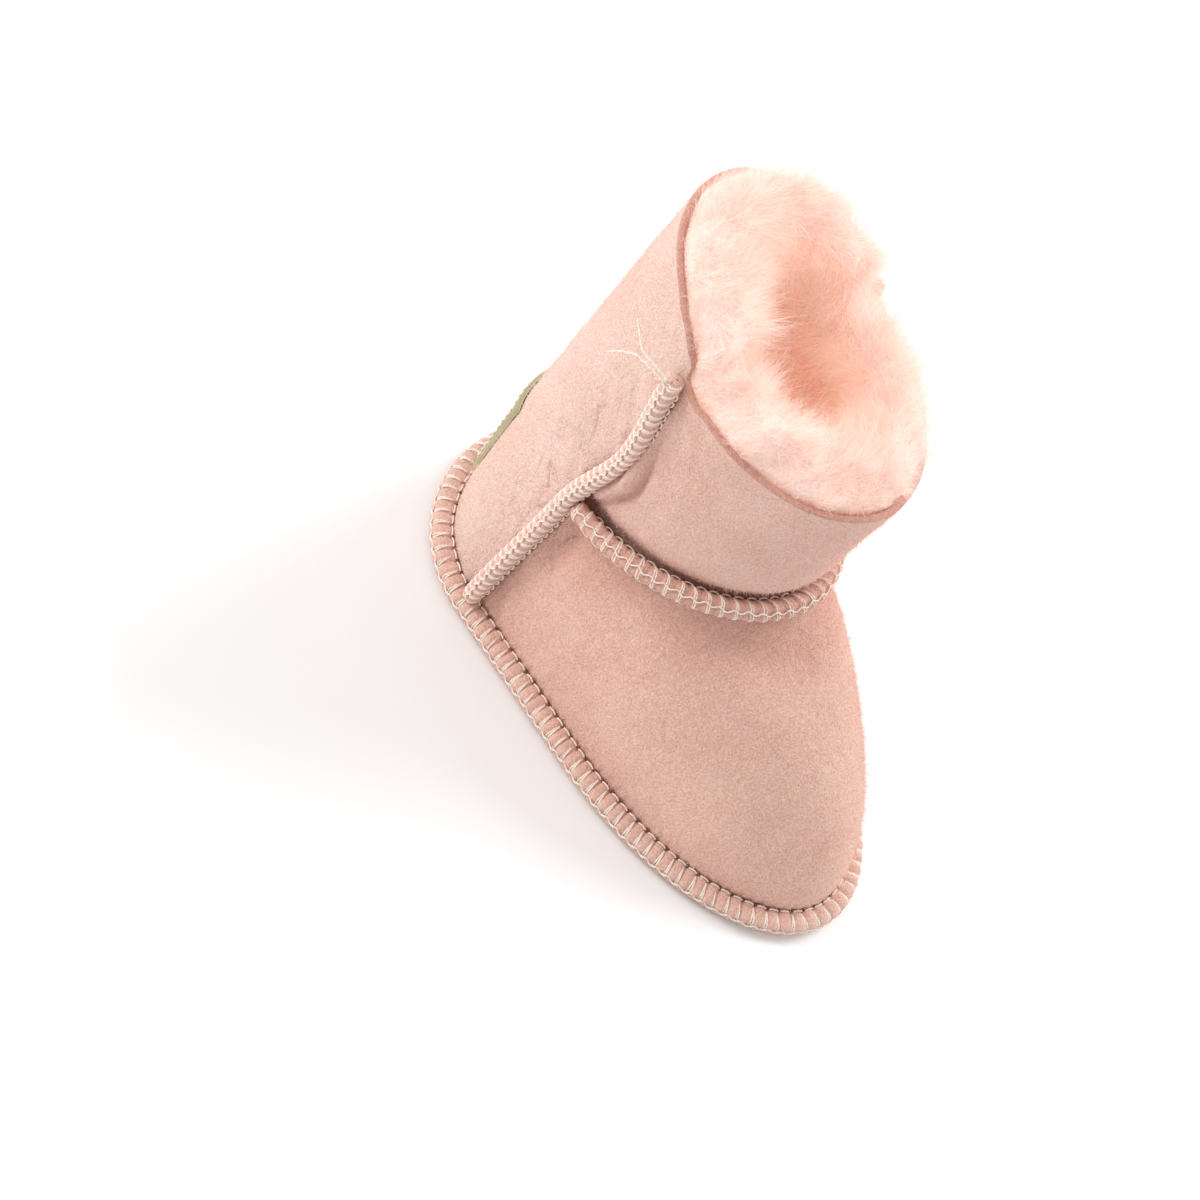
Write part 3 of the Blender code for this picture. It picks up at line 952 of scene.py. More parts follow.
@dataclass
class HidePanel:
    """One hide of the upper, from the sole or the instep seam up to its top edge."""

    form: UpperForm
    region: Region
    columns: int
    rows: int
    finish: Suede
    cut_finish: Suede = Suede("cut_edge_suede", (0.74, 0.42, 0.34), (0.50, 0.23, 0.17))
    edge_share: float = 0.07
    edge_rows: int = 14
    overlap: float = 0.09
    pitch: float = 0.00265
    swells: tuple = (Ripple(0.00045, 45, 1), Ripple(0.00018, 130, 2))
    folds: Ripple = Ripple(0.00085, 95, 3)
    folds_side: Band = Band(1.0, 0.0, 0.014)
    sewn_in: Band = Band(0.0007, 0.0, 0.0022)
    crease: Band = Band(0.00068, 0.0, 0.09)
    crease_side: Band = Band(1.0, 0.0, 0.020, 4)
    crease_rise: Band = Band(1.0, 1.05, 0.55)
    crease_drift: Ripple = Ripple(0.006, 110, 15)
    crease_lines: Ripple = Ripple(1.0, 190, 16)
    crease_gaps: Ripple = Ripple(1.6, 120, 17)
    pucker: Band = Band(0.00016, 0.0, 0.05)
    hollow: Band = Band(0.0012, 0.84, 0.08)
    hollow_ease: float = 0.4
    valley: Band = Band(0.0013, 0.009, 0.005)
    valley_rise: Band = Band(1.0, 0.72, 0.28)
    tuck: Band = Band(0.0026, 1.0, 0.11)
    fold_rise: Band = Band(1.0, 1.38, 0.26)
    fold_least: float = 0.0025
    fold_more: float = 0.0058
    roll: Band = Band(0.0025, 0.0, 0.0022)
    roll_share: float = 0.60
    groove: Band = Band(0.0017, 0.0, 0.0010)
    turned_share: float = 0.6
    turned_depth: float = 0.004
    edge_crown: float = 0.0005
    ragged: Ripple = Ripple(0.0005, 110, 14)
    ragged_from: float = 1.7
    # Painted shade: darker nap beside the side seams, under the instep seam, in the front's tuck
    # and in the groove by its fold; the cloud makes it uneven.
    shade_cloud: Ripple = Ripple(0.5, 60, 11)
    seam_shade: Band = Band(0.22, 0.0, 0.010)
    under_instep_shade: Band = Band(0.88, 0.90, 0.16)
    shade_least: float = 0.30
    shade_ease: float = 0.3
    tuck_shade: Band = Band(0.75, 1.0, 0.10)
    groove_shade: Band = Band(0.50, 0.0, 0.0014)

    @property
    def surface(self) -> Surface:
        """The hide's outer surface."""
        return {Region.BACK: self.form.back, Region.VAMP: self.form.vamp,
                Region.FRONT: self.form.front}[self.region]

    def rise_of(self, share: np.ndarray) -> np.ndarray:
        """Rise on the hide for shares of the way up its sheet.

        Args:
            share: 0 at the sheet's foot, 1 at the end of its turned edge.

        Returns:
            One rise for each share.
        """
        if self.region is Region.VAMP:
            return share
        start = 0.0 if self.region is Region.BACK else 1 - self.overlap
        return start + (2 - start) * np.clip(share / (1 - self.edge_share), 0, 1)

    def seam_distance(self, around: np.ndarray) -> np.ndarray:
        """Distance from the nearest side seam along the hide."""
        lengths = {Region.BACK: 0.5, Region.VAMP: 1.0, Region.FRONT: 0.55}
        width = self.form.front_sole(0).length() * lengths[self.region]
        return np.minimum(around, 1 - around) * width

    def relief(self, around: np.ndarray, rise: np.ndarray, points: np.ndarray) -> np.ndarray:
        """How far the soft hide stands out from its pattern surface.

        Args:
            around: places across the hide.
            rise: places up the hide.
            points: those places in space.

        Returns:
            One distance for each place.
        """
        side = self.seam_distance(around)
        stand = sum(swell.heights(points) for swell in self.swells)
        slanted = points @ CREASE_SLANT
        stand += self.folds.heights(slanted * FOLD_STRETCH) * self.folds_side.at(side)
        stand -= self.creases(slanted, side, rise)
        stand -= self.sewn_in.at(side)
        if self.region is Region.VAMP:
            stand += self.vamp_relief(around, rise, side)
        if self.region is Region.FRONT:
            stand += self.front_relief(rise, side)
        return stand

    def creases(self, slanted: np.ndarray, side: np.ndarray, rise: np.ndarray) -> np.ndarray:
        """Depth of the fine creases that run away from the side seams.

        Args:
            slanted: the places, turned so that creases slant down from the seam.
            side: distance of each from its side seam.
            rise: places up the hide.

        Returns:
            One depth for each place.
        """
        if self.region is Region.FRONT:
            return np.zeros(len(side))
        drifted = slanted + self.crease_drift.shifts(slanted)
        lines = np.abs(self.crease_lines.heights(drifted * CREASE_STRETCH))
        place = self.crease_side.at(side) * self.crease_rise.at(rise)
        broken = smooth(0.5 + self.crease_gaps.heights(slanted))
        return self.crease.at(lines) * place * broken

    def vamp_relief(self, around: np.ndarray, rise: np.ndarray, side: np.ndarray) -> np.ndarray:
        """The hollow under the instep seam, and puckers along the sole.

        Args:
            around: places across the hide.
            rise: places up the hide.
            side: distance of each from its side seam.

        Returns:
            One distance out for each place.
        """
        puckers = np.cos(math.tau * around * self.form.front_sole(0).length() / self.pitch)
        hollow = self.hollow.at(rise) * hump(around) ** self.hollow_ease
        valley = self.valley.at(side) * self.valley_rise.at(rise)
        return self.pucker.at(rise) * puckers - hollow - valley

    def fold(self, rise: np.ndarray) -> tuple[np.ndarray, np.ndarray]:
        """How strong the front's rolled fold is, and how far from the seam it ends."""
        window = self.fold_rise.at(rise)
        return window, self.fold_least + self.fold_more * window

    def front_relief(self, rise: np.ndarray, side: np.ndarray) -> np.ndarray:
        """The tuck at the instep seam and the rolled fold beside each side seam.

        Args:
            rise: places up the hide.
            side: distance of each from its side seam.

        Returns:
            One distance out for each place.
        """
        window, reach = self.fold(rise)
        roll = self.roll.at(side - self.roll_share * reach) * window
        groove = self.groove.at(side - reach) * window
        return roll - groove - self.tuck.at(rise)

    def place(self, around: np.ndarray, share: np.ndarray) -> np.ndarray:
        """The soft hide, with its cut edge turned over at the rim.

        Args:
            around: places across the hide.
            share: places up the sheet.

        Returns:
            One point for each place.
        """
        rise = self.rise_of(share)
        points = self.surface(around, rise)
        normal = self.form.normals(self.surface, around, np.minimum(rise, RIM))
        points = points + normal * self.relief(around, rise, points)[:, None]
        if self.region is Region.VAMP:
            return points
        turned = np.clip((share - (1 - self.edge_share)) / self.edge_share, 0, 1)
        arch = np.pi * np.clip(turned / self.turned_share, 0, 1)
        down = np.clip((turned - self.turned_share) / (1 - self.turned_share), 0, 1)
        inward = (1 - np.cos(arch)) / 2 * self.form.hide
        points = points - normal * inward[:, None]
        ragged = self.ragged.heights(np.column_stack([points[:, :2], 0 * around]))
        ragged *= smooth((rise - self.ragged_from) / (2 - self.ragged_from))
        points[:, 2] += np.sin(arch) * self.edge_crown - down * self.turned_depth + ragged
        return points

    def painted_shade(self, around: np.ndarray, share: np.ndarray) -> np.ndarray:
        """How much painted shade darkens the nap: beside the side seams, under the instep seam, and
        in the front panel's tuck and the groove beside its fold.

        Args:
            around: places across the hide.
            share: places up the sheet.

        Returns:
            A number from 0 to 1 for each place.
        """
        rise = self.rise_of(share)
        side = self.seam_distance(around)
        cloud = 0.5 + self.shade_cloud.heights(self.surface(around, rise))
        amount = self.seam_shade.at(side) * cloud
        if self.region is Region.VAMP:
            uneven = self.shade_least + (1 - self.shade_least) * cloud
            # Painted shade under the instep seam.
            amount = amount + self.under_instep_shade.at(rise) * uneven * hump(around) ** self.shade_ease
        if self.region is Region.FRONT:
            window, reach = self.fold(rise)
            # Painted shade in the tuck at the instep seam and in the groove beside the fold.
            amount = amount + self.tuck_shade.at(rise) + self.groove_shade.at(side - reach) * window
        return np.clip(amount, 0, 1)

    def sheet(self, name: str, low: float, high: float, rows: int,
              finish: Suede) -> bpy.types.Object:
        """One run of rows of the hide, as a piece.

        Args:
            name: the piece's name.
            low: share of the way up where it starts.
            high: share where it ends.
            rows: faces up it.
            finish: its finish.

        Returns:
            The new piece.
        """
        def spot(across: np.ndarray, up: np.ndarray) -> np.ndarray:
            """Points of these rows."""
            return self.place(across, low + (high - low) * up)

        def row_shade(across: np.ndarray, up: np.ndarray) -> np.ndarray:
            """Painted shade of these rows."""
            return self.painted_shade(across, low + (high - low) * up)

        bm = spread_sheet(self.columns, rows, spot)
        outward = Vector((0, 1, 0)) if self.region is Region.BACK else Vector((0, -1, 0.2))
        face_outward(bm, outward)
        piece = to_object(name, bm)
        paint(piece, "painted_shade", self.columns, rows, row_shade)
        return settle(piece, finish.material(),
                      [f"{self.region.value}_hide"])

    def build(self) -> list[bpy.types.Object]:
        """Make the hide and, where it ends at the rim, its cut edge.

        Returns:
            The new pieces.
        """
        name = self.region.value
        if self.region is Region.VAMP:
            return [self.sheet(f"{name}_suede", 0, 1, self.rows, self.finish)]
        fold = 1 - self.edge_share
        return [self.sheet(f"{name}_suede", 0, fold, self.rows, self.finish),
                self.sheet(f"{name}_cut_edge", fold, 1, self.edge_rows, self.cut_finish)]


@dataclass
class Nap:
    """The short raised fibres on one suede hide."""

    panel: HidePanel
    fibre: Fibre
    fibres: int
    length: float = 0.00042
    width: float = 0.00005
    sunk: float = 0.00005
    shortest: float = 0.4
    lay: Ripple = Ripple(0.9, 260, 21)
    scatter: float = 0.6
    bend: float = 0.5

    def build(self) -> list[bpy.types.Object]:
        """Make the fibres.

        Returns:
            The new pieces.
        """
        rng = np.random.default_rng(self.fibres)
        across, up = rng.random(self.fibres), rng.random(self.fibres)
        if self.panel.region is not Region.VAMP:
            up = up * (1 - self.panel.edge_share)
        root = self.panel.place(across, up)
        surface, form = self.panel.surface, self.panel.form
        normal = form.normals(surface, across, np.minimum(self.panel.rise_of(up), RIM))
        lean = normal + self.lay.shifts(root) + rng.normal(size=root.shape) * self.scatter
        bend = rng.normal(size=root.shape) * self.bend
        length = (self.length * (self.shortest + rng.random(self.fibres)))[:, None]
        steps = [root + lean * length * part + bend * length * part ** 2 for part in (0, 0.5, 1)]
        paths = np.stack(steps, axis=1) - normal[:, None, :] * self.sunk
        name = self.panel.region.value
        piece = ribbons(f"{name}_nap", paths, self.width, rng.random(self.fibres) * math.pi)
        return [settle(piece, self.fibre.material(), [f"{name}_hide"])]


@dataclass
class Sole:
    """The flat suede sole with its edge lifted to meet the upper."""

    form: UpperForm
    finish: Suede
    segments: int = 320
    fore_share: float = 0.66
    rim_inset: float = 0.0024
    step: float = 0.0014

    def ring_spots(self, inset: float, height: float) -> np.ndarray:
        """Points round the sole outline.

        Args:
            inset: how far inside the outline.
            height: their height.

        Returns:
            As many points as the sole has segments.
        """
        front, back = self.form.front_sole(inset), self.form.back_sole(inset)
        count = round(self.segments * self.fore_share)
        fore = front.at(np.arange(count) / count)
        aft = back.at(1 - np.arange(self.segments - count) / (self.segments - count))
        flat = np.concatenate([fore, aft])
        return np.column_stack([flat, np.full(len(flat), height)])

    def build(self) -> bpy.types.Object:
        """Make the sole.

        Returns:
            The sole's object.
        """
        bm = bmesh.new()
        made = bmesh.ops.create_circle(bm, segments=self.segments, radius=1)
        ring = made["verts"]
        hide, flange = self.form.hide, self.form.flange
        rings = [(self.rim_inset, self.form.lift + hide), (flange, self.form.lift + hide),
                 (flange + self.step, hide), (flange + 3 * self.step, hide)]
        for number, (inset, height) in enumerate(rings):
            if number:
                edges = [edge for edge in bm.edges if all(v in ring for v in edge.verts)]
                grown = bmesh.ops.extrude_edge_only(bm, edges=edges)["geom"]
                ring = [item for item in grown if isinstance(item, bmesh.types.BMVert)]
            for vert, spot in zip(ring, self.ring_spots(inset, height)):
                vert.co = spot
        last = [edge for edge in bm.edges if all(v in ring for v in edge.verts)]
        bmesh.ops.edgeloop_fill(bm, edges=last)
        face_outward(bm, Vector((0, 0, 1)))
        piece = to_object("sole_suede", bm)
        wall = piece.modifiers.new("thickness", "SOLIDIFY")
        wall.thickness = hide
        wall.offset = -1
        return settle(piece, self.finish.material(), ["sole_hide"])


# ------------------------------------------------------------------ seams

@dataclass
class SeamPath:
    """A seam as a run of points with the direction its edge stands and the one across it."""

    points: np.ndarray
    out: np.ndarray
    across: np.ndarray
    closed: bool = False

    def length(self) -> float:
        """Length of the seam."""
        return float(reached(self.points)[-1])

    def at(self, share: np.ndarray) -> tuple[np.ndarray, np.ndarray, np.ndarray]:
        """Read the seam.

        Args:
            share: shares of its length.

        Returns:
            Points, standing directions and across directions.
        """
        marks = reached(self.points) / self.length()
        points, out, across = (read_rows(rows, marks, share)
                               for rows in (self.points, self.out, self.across))
        out /= np.linalg.norm(out, axis=1)[:, None]
        across /= np.linalg.norm(across, axis=1)[:, None]
        return points, out, across


@dataclass
class OverlockSeam:
    """A raised seam: the two hides' puffed edges, the loops over them and the needle line."""

    name: str
    path: SeamPath
    slot: str
    hides: tuple
    thread_node: str
    suede: Suede
    thread: Thread
    shade: Plain
    side: float = 0.0019
    height: float = 0.0045
    root: float = 0.0006
    pitch: float = 0.00265
    puff: float = 0.24
    strand: float = 0.00021
    squareness: float = 2.4
    furrow: Band = Band(0.00045, 0.0, 0.00030)
    rough: Ripple = Ripple(0.00010, 900, 4)
    cap: float = 0.0020
    faces_per_stitch: int = 8
    faces_round: int = 20
    pair: float = 0.00027
    pair_wander: tuple = (0.6, 1.2)
    lean: float = 0.30
    lean_wander: float = 0.12
    stitch_wander: float = 0.05
    wrap: float = 0.20
    drawn_in: float = 0.55
    needle_run: float = 0.36
    needle_arch: float = 0.00030
    needle_sink: float = 0.00022
    needle_out: float = 1.10
    hole_run: float = 0.10
    hole_sink: float = 0.00005
    hole_out: float = 1.06
    hole_radius: float = 0.00030
    foot_gap: float = 0.0001
    crest_sways: tuple = (0.00030, 0.00012)
    crest_ends: tuple = (0.004, 0.986)

    def stitches(self) -> int:
        """Number of loops along the seam."""
        return max(1, round(self.path.length() / self.pitch))

    def section(self, angle: np.ndarray, swell: np.ndarray) -> tuple[np.ndarray, np.ndarray]:
        """Outline of the raised edge: a rounded oblong with a furrow between the two hides.

        Args:
            angle: 0 at one side, a quarter turn at the crest.
            swell: size of the outline at each place.

        Returns:
            Distances across the seam and out from it.
        """
        power = 2 / self.squareness
        cos, sin = np.cos(angle), np.sin(angle)
        across = np.sign(cos) * np.abs(cos) ** power * self.side * swell
        half = (self.height + self.root) / 2
        out = half - self.root + np.sign(sin) * np.abs(sin) ** power * half * swell
        return across, out - self.furrow.at(across) * (sin > 0)

    def swell(self, share: np.ndarray) -> np.ndarray:
        """Puffed between loops and drawn in under them."""
        wave = np.abs(np.sin(np.pi * share * self.stitches()))
        return 1 + self.puff * (wave ** 0.7 - 0.75)

    def ends(self, share: np.ndarray) -> np.ndarray:
        """Shrinks the edge toward the ends of an open seam.

        Args:
            share: shares of the seam's length.

        Returns:
            One size for each share, close to 0 at an open end.
        """
        if self.path.closed:
            return np.ones(len(share))
        reach = self.cap / self.path.length()
        inward = 1 - np.clip(np.minimum(share, 1 - share) / reach, 0, 1)
        return np.sqrt(1 - 0.999 * inward ** 2)

    def place_edge(self, share: np.ndarray, turn: np.ndarray) -> np.ndarray:
        """The puffed edge.

        Args:
            share: shares of the seam's length.
            turn: shares of a turn round the edge.

        Returns:
            One point for each pair.
        """
        spot, out, across = self.path.at(share)
        size = self.swell(share) * self.ends(share)
        sideways, outward = self.section(turn * math.tau, size)
        points = spot + across * sideways[:, None] + out * outward[:, None]
        return points + out * self.rough.heights(points)[:, None]

    def loop_path(self, share: float, lean: float, spread: float) -> np.ndarray:
        """One thread from its needle hole on one hide, over the crest, to the other hide.

        Args:
            share: its middle as a share of the seam's length.
            lean: how far it slants, in stitches.
            spread: how far it stands off its twin at the crest.

        Returns:
            Points along it.
        """
        turn = np.linspace(-self.wrap, math.pi + self.wrap, 13)
        drift = lean * (turn / math.pi - 0.5) * self.pitch
        apart = spread * np.sin(np.clip(turn, 0, math.pi)) ** 0.6
        shares = share + (drift + apart) / self.path.length()
        shares = np.mod(shares, 1) if self.path.closed else np.clip(shares, 0, 1)
        spot, out, across = self.path.at(shares)
        size = (1 - self.puff * self.drawn_in) * self.ends(shares)
        sideways, outward = self.section(turn, size)
        lift = self.strand * 0.9
        sideways += np.sign(sideways) * lift * np.abs(np.cos(turn))
        outward += lift * np.clip(np.sin(turn), 0, 1)
        return spot + across * sideways[:, None] + out * outward[:, None]

    def needle_path(self, share: float, sign: int) -> np.ndarray:
        """A short stitch along the foot of the raised edge, sunk at both ends.

        Args:
            share: its middle as a share of the seam's length.
            sign: which side of the edge it lies on.

        Returns:
            Points along it.
        """
        run = np.linspace(-self.needle_run, self.needle_run, 5)
        shares = np.clip(share + run * self.pitch / self.path.length(), 0, 1)
        spot, out, across = self.path.at(shares)
        arch = self.needle_arch * np.cos(run / self.needle_run * math.pi / 2)
        sideways = (self.side * self.needle_out + arch - self.needle_sink) * sign
        return spot + across * sideways[:, None] + out * (self.root + self.foot_gap)

    def hole_path(self, share: float, sign: int) -> np.ndarray:
        """A short dark run of painted shade where the needle went in beside a loop.

        Args:
            share: its middle as a share of the seam's length.
            sign: which side of the edge it lies on.

        Returns:
            Points along it.
        """
        run = np.linspace(-self.hole_run, self.hole_run, 3) * self.pitch
        spot, out, across = self.path.at(np.clip(share + run / self.path.length(), 0, 1))
        sideways = (self.side * self.hole_out - self.hole_sink) * sign
        return spot + across * sideways + out * (self.root - self.foot_gap)

    def crest_path(self) -> np.ndarray:
        """The thread that links the loops along the crest.

        Returns:
            Points along it.
        """
        low, high = (0, 1) if self.path.closed else self.crest_ends
        share = np.linspace(low, high, self.stitches() * self.faces_per_stitch + 1)
        spot, out, across = self.path.at(share)
        wave = math.tau * share * self.stitches()
        wide, slow = self.crest_sways
        sideways = wide * np.sin(wave) + slow * np.sin(wave * 0.37)
        outward = self.height * (0.99 + self.puff * 0.1 * np.cos(wave)) * self.ends(share)
        return spot + across * sideways[:, None] + out * outward[:, None]

    def build(self) -> list[bpy.types.Object]:
        """Make the seam's edge, its loops and its needle stitches.

        Returns:
            The new objects.
        """
        count = self.stitches()
        bm = spread_sheet(count * self.faces_per_stitch, self.faces_round, self.place_edge,
                          wraps=True)
        bmesh.ops.recalc_face_normals(bm, faces=bm.faces)
        edge = to_object(f"{self.name}_edge", bm)
        settle(edge, self.suede.material(), self.hides)
        rng = np.random.default_rng(count)
        middles = (np.arange(count) + (0.0 if self.path.closed else 0.5)) / count
        middles = middles + rng.normal(size=count) * self.stitch_wander / count
        paths = []
        for share in middles:
            lean = self.lean + rng.normal() * self.lean_wander
            for spread in (-self.pair, self.pair):
                paths.append(self.loop_path(share, lean, spread * rng.uniform(*self.pair_wander)))
        loops = strands(f"{self.name}_loops", paths, self.strand, 1)
        settle(loops, self.thread.material(), [self.thread_node])
        inner = middles if self.path.closed else middles[1:-2]
        lines = [self.needle_path(share + 0.5 / count, sign) for sign in (-1, 1) for share in inner]
        lines.append(self.crest_path())
        holes = [self.hole_path(share, sign) for sign in (-1, 1) for share in inner]
        needle = strands(f"{self.name}_needle_line", lines, self.strand * 0.9, 1)
        settle(needle, self.thread.material(), [self.thread_node])
        shaded_holes = strands(f"{self.name}_needle_hole_shade", holes, self.hole_radius, 0)
        settle(shaded_holes, self.shade.material(), self.hides)
        return [edge, loops, needle, shaded_holes]


@dataclass
class SeamLayout:
    """Where each raised seam runs."""

    form: UpperForm
    sole_points: int = 240
    heel_points: int = 121
    turn_points: int = 3
    side_points: int = 90
    side_span: tuple = (0.02, 2.005)
    instep_points: int = 120
    instep_span: tuple = (0.018, 0.982)
    instep_step: float = 0.005

    def sole(self) -> SeamPath:
        """Round the whole sole edge, standing level.

        Returns:
            The closed path of the sole seam.
        """
        inset = self.form.flange
        share = np.linspace(0, 1, self.sole_points, endpoint=False)
        fore = self.form.front_sole(inset).at(share)
        aft = self.form.back_sole(inset).at(1 - np.linspace(0, 1, self.heel_points))
        flat = np.concatenate([fore, aft])
        middle = (self.form.lift + self.form.flange_top) / 2
        points = np.column_stack([flat, np.full(len(flat), middle)])
        near = self.turn_points
        ahead = np.roll(points, -near, axis=0) - np.roll(points, near, axis=0)
        ahead[-1] = ahead[0] = points[near] - points[-near - 1]
        out = np.stack([ahead[:, 1], -ahead[:, 0], np.zeros(len(ahead))], axis=1)
        out *= np.sign((out * (points - [0, self.form.toe_centre_y, middle])).sum(axis=1))[:, None]
        return SeamPath(points, out, np.tile([0.0, 0.0, 1.0], (len(points), 1)), True)

    def side(self, side: Side) -> SeamPath:
        """Up one side from the sole edge to the rim.

        Args:
            side: the wearer's right or left side.

        Returns:
            The open path of that side seam.
        """
        count = self.side_points
        rise = np.linspace(*self.side_span, count)
        points = self.form.back(np.full(count, 0.0 if side is Side.RIGHT else 1.0), rise)
        out = np.tile([float(side.value), 0, 0], (count, 1))
        return SeamPath(points, out, np.tile([0.0, 1.0, 0.0], (count, 1)))

    def instep(self) -> SeamPath:
        """Across the front from one side seam to the other, leaning up.

        Returns:
            The open path of the instep seam.
        """
        around = np.linspace(*self.instep_span, self.instep_points)
        points = self.form.instep(around)
        face = self.form.outward(around, True)
        lean = self.form.fin_lean
        edge = face * math.cos(lean) + np.array([0, 0, math.sin(lean)])
        ahead = (self.form.instep(around + self.instep_step)
                 - self.form.instep(around - self.instep_step))
        across = np.cross(ahead, edge)
        across *= np.sign(across[:, 2])[:, None]
        return SeamPath(points, edge, across)


# ------------------------------------------------------------------ wool

@dataclass
class WoolLining:
    """The pile behind one hide: a soft body and the fibres that stand on it."""

    form: UpperForm
    region: Region
    body: Pile
    fibre: Fibre
    inner: Fibre | None = None
    columns: int = 160
    rows: int = 90
    edge_gap: float = 0.0018
    ring: float = 0.0135
    snug: float = 0.0120
    thickness: float = 0.0088
    toe_thickness: float = 0.0080
    toe_span: tuple = (0.08, 0.86)
    crest: float = 0.0058
    crest_sharpness: float = 0.9
    tucked: float = 0.0012
    top_share: float = 0.36
    front_foot: float = 1.04
    back_foot: float = 0.12
    fall_sharpness: float = 1.15
    lowest: float = 0.0088
    squared_from: float = 0.85
    lumps: tuple = (Ripple(0.0024, 120, 5), Ripple(0.0011, 330, 6))
    lump_share: float = 0.08
    # Where the pile darkens: partly the wool's deeper root colour, partly painted shade at the
    # rim's inner edge and down inside.
    rim_depth: Band = Band(0.9, 0.0, 0.045)
    inner_depth: tuple = (0.40, 0.22)
    step: float = 0.01
    outer_share: float = 0.6
    outer_tilt: float = 0.75
    far_x: float = 0.02
    lean_in: float = 0.55
    lean_up: float = 0.75
    fibres: int = 24600
    inner_fibres: int = 20000
    rim_band: float = 0.42
    inner_from: float = 0.32
    fibre_length: float = 0.0072
    fibre_width: float = 0.000045
    fibre_points: int = 5
    locks: Ripple = Ripple(1.0, 190, 7)
    lock_share: float = 0.60
    scatter: float = 0.30
    uplift: float = 0.20
    bends: Ripple = Ripple(1.3, 300, 8)
    bend_scatter: float = 0.45
    bend_share: float = 0.5
    shortest: float = 0.45
    length_spread: float = 0.65
    inner_crowding: float = 1.5
    curl: float = 0.0006
    curl_turns: tuple = (9, 900)
    sunk: float = 0.0012
    pressed_above: float = 0.1115
    pressed: float = 0.35
    lowest_tip: float = 0.0035

    @property
    def surface(self) -> Surface:
        """The outer surface of the hide in front of the pile."""
        return {Region.BACK: self.form.back, Region.VAMP: self.form.vamp,
                Region.FRONT: self.form.front}[self.region]

    def profile(self, share: np.ndarray) -> tuple[np.ndarray, np.ndarray, np.ndarray]:
        """Path of the pile's surface: up behind the rim, over the crest and down inside.

        Args:
            share: 0 behind the rim's edge, 1 at the bottom inside.

        Returns:
            Rise on the hide, depth behind it and height above it.
        """
        turn = np.clip(share / self.top_share, 0, 1) * np.pi
        fall = np.clip((share - self.top_share) / (1 - self.top_share), 0, 1)
        depth = self.edge_gap + (self.ring - self.edge_gap) * (1 - np.cos(turn)) / 2
        depth = depth + (self.snug - self.ring) * smooth(fall * 3.0)
        depth = depth + (self.thickness - self.snug) * smooth(fall * 2.0 - 0.9)
        lowest = self.front_foot if self.region is Region.FRONT else self.back_foot
        rise = RIM + (lowest - RIM) * fall ** self.fall_sharpness
        above = self.crest * np.sin(turn) ** self.crest_sharpness - self.tucked * (turn < 1e-6)
        return rise, depth, above

    def plain_point(self, around: np.ndarray, share: np.ndarray) -> np.ndarray:
        """The pile's surface without its lumps.

        Args:
            around: places across the hide.
            share: places along the profile.

        Returns:
            One point for each place.
        """
        if self.region is Region.VAMP:
            start, span = self.toe_span
            rise, depth = start + span * share, np.full(len(share), self.toe_thickness)
            above = 0 * share
        else:
            rise, depth, above = self.profile(share)
        points = self.surface(around, rise)
        level = smooth((rise - self.squared_from) / (1 - self.squared_from))[:, None]
        normal = self.form.normals(self.surface, around, rise) * (1 - level)
        normal = normal + self.form.outward(around, self.region is not Region.BACK) * level
        normal /= np.linalg.norm(normal, axis=1)[:, None]
        points = points - normal * depth[:, None]
        points[:, 2] = np.maximum(points[:, 2] + above, self.lowest)
        return points

    def place(self, around: np.ndarray, share: np.ndarray) -> np.ndarray:
        """The pile's surface with its soft lumps."""
        points = self.plain_point(around, share)
        free = smooth(share / self.lump_share)[:, None]
        return points + sum(lump.shifts(points) for lump in self.lumps) * free

    def frame_at(self, around: np.ndarray, share: np.ndarray) -> tuple[np.ndarray, np.ndarray]:
        """The pile's surface and the way its fibres stand.

        Args:
            around: places round the shaft.
            share: places along the profile.

        Returns:
            Root points and unit directions.
        """
        root = self.place(around, share)
        low, high = np.clip(share - self.step, 0, 1), np.clip(share + self.step, 0, 1)
        along = self.plain_point(around, high) - self.plain_point(around, low)
        near, far = np.clip(around - self.step, 0, 1), np.clip(around + self.step, 0, 1)
        across = self.plain_point(far, share) - self.plain_point(near, share)
        normal = np.cross(along, across)
        normal /= np.linalg.norm(normal, axis=1)[:, None] + 1e-12
        centre = np.array([0, self.form.shaft_y, 0.0]) - root
        centre[:, 2] = 0
        centre /= np.linalg.norm(centre, axis=1)[:, None]
        lies_inside = share > self.top_share * 0.5
        turn = np.sign((normal * np.where(lies_inside[:, None], centre, -centre)).sum(axis=1))
        outer = np.clip(1 - share / (self.top_share * self.outer_share), 0, 1)
        outer = (outer * (1 - self.outer_tilt * smooth(root[:, 0] / self.far_x)))[:, None]
        stand = normal * turn[:, None] * (1 - self.outer_tilt * outer)
        stand = stand + outer * (self.lean_in * centre + np.array([0, 0, self.lean_up]))
        return root, stand

    def depth(self, around: np.ndarray, share: np.ndarray) -> np.ndarray:
        """How deep in the pile a place lies, at the rim's inner edge and down inside, which sets
        its warmer, darker colour: partly the wool's deeper root colour, partly painted shade.

        Args:
            around: places across the hide.
            share: places along the profile.

        Returns:
            0 on the crest to 1 deep down.
        """
        start, span = self.inner_depth
        return np.clip(self.rim_depth.at(share) + smooth((share - start) / span), 0, 1)

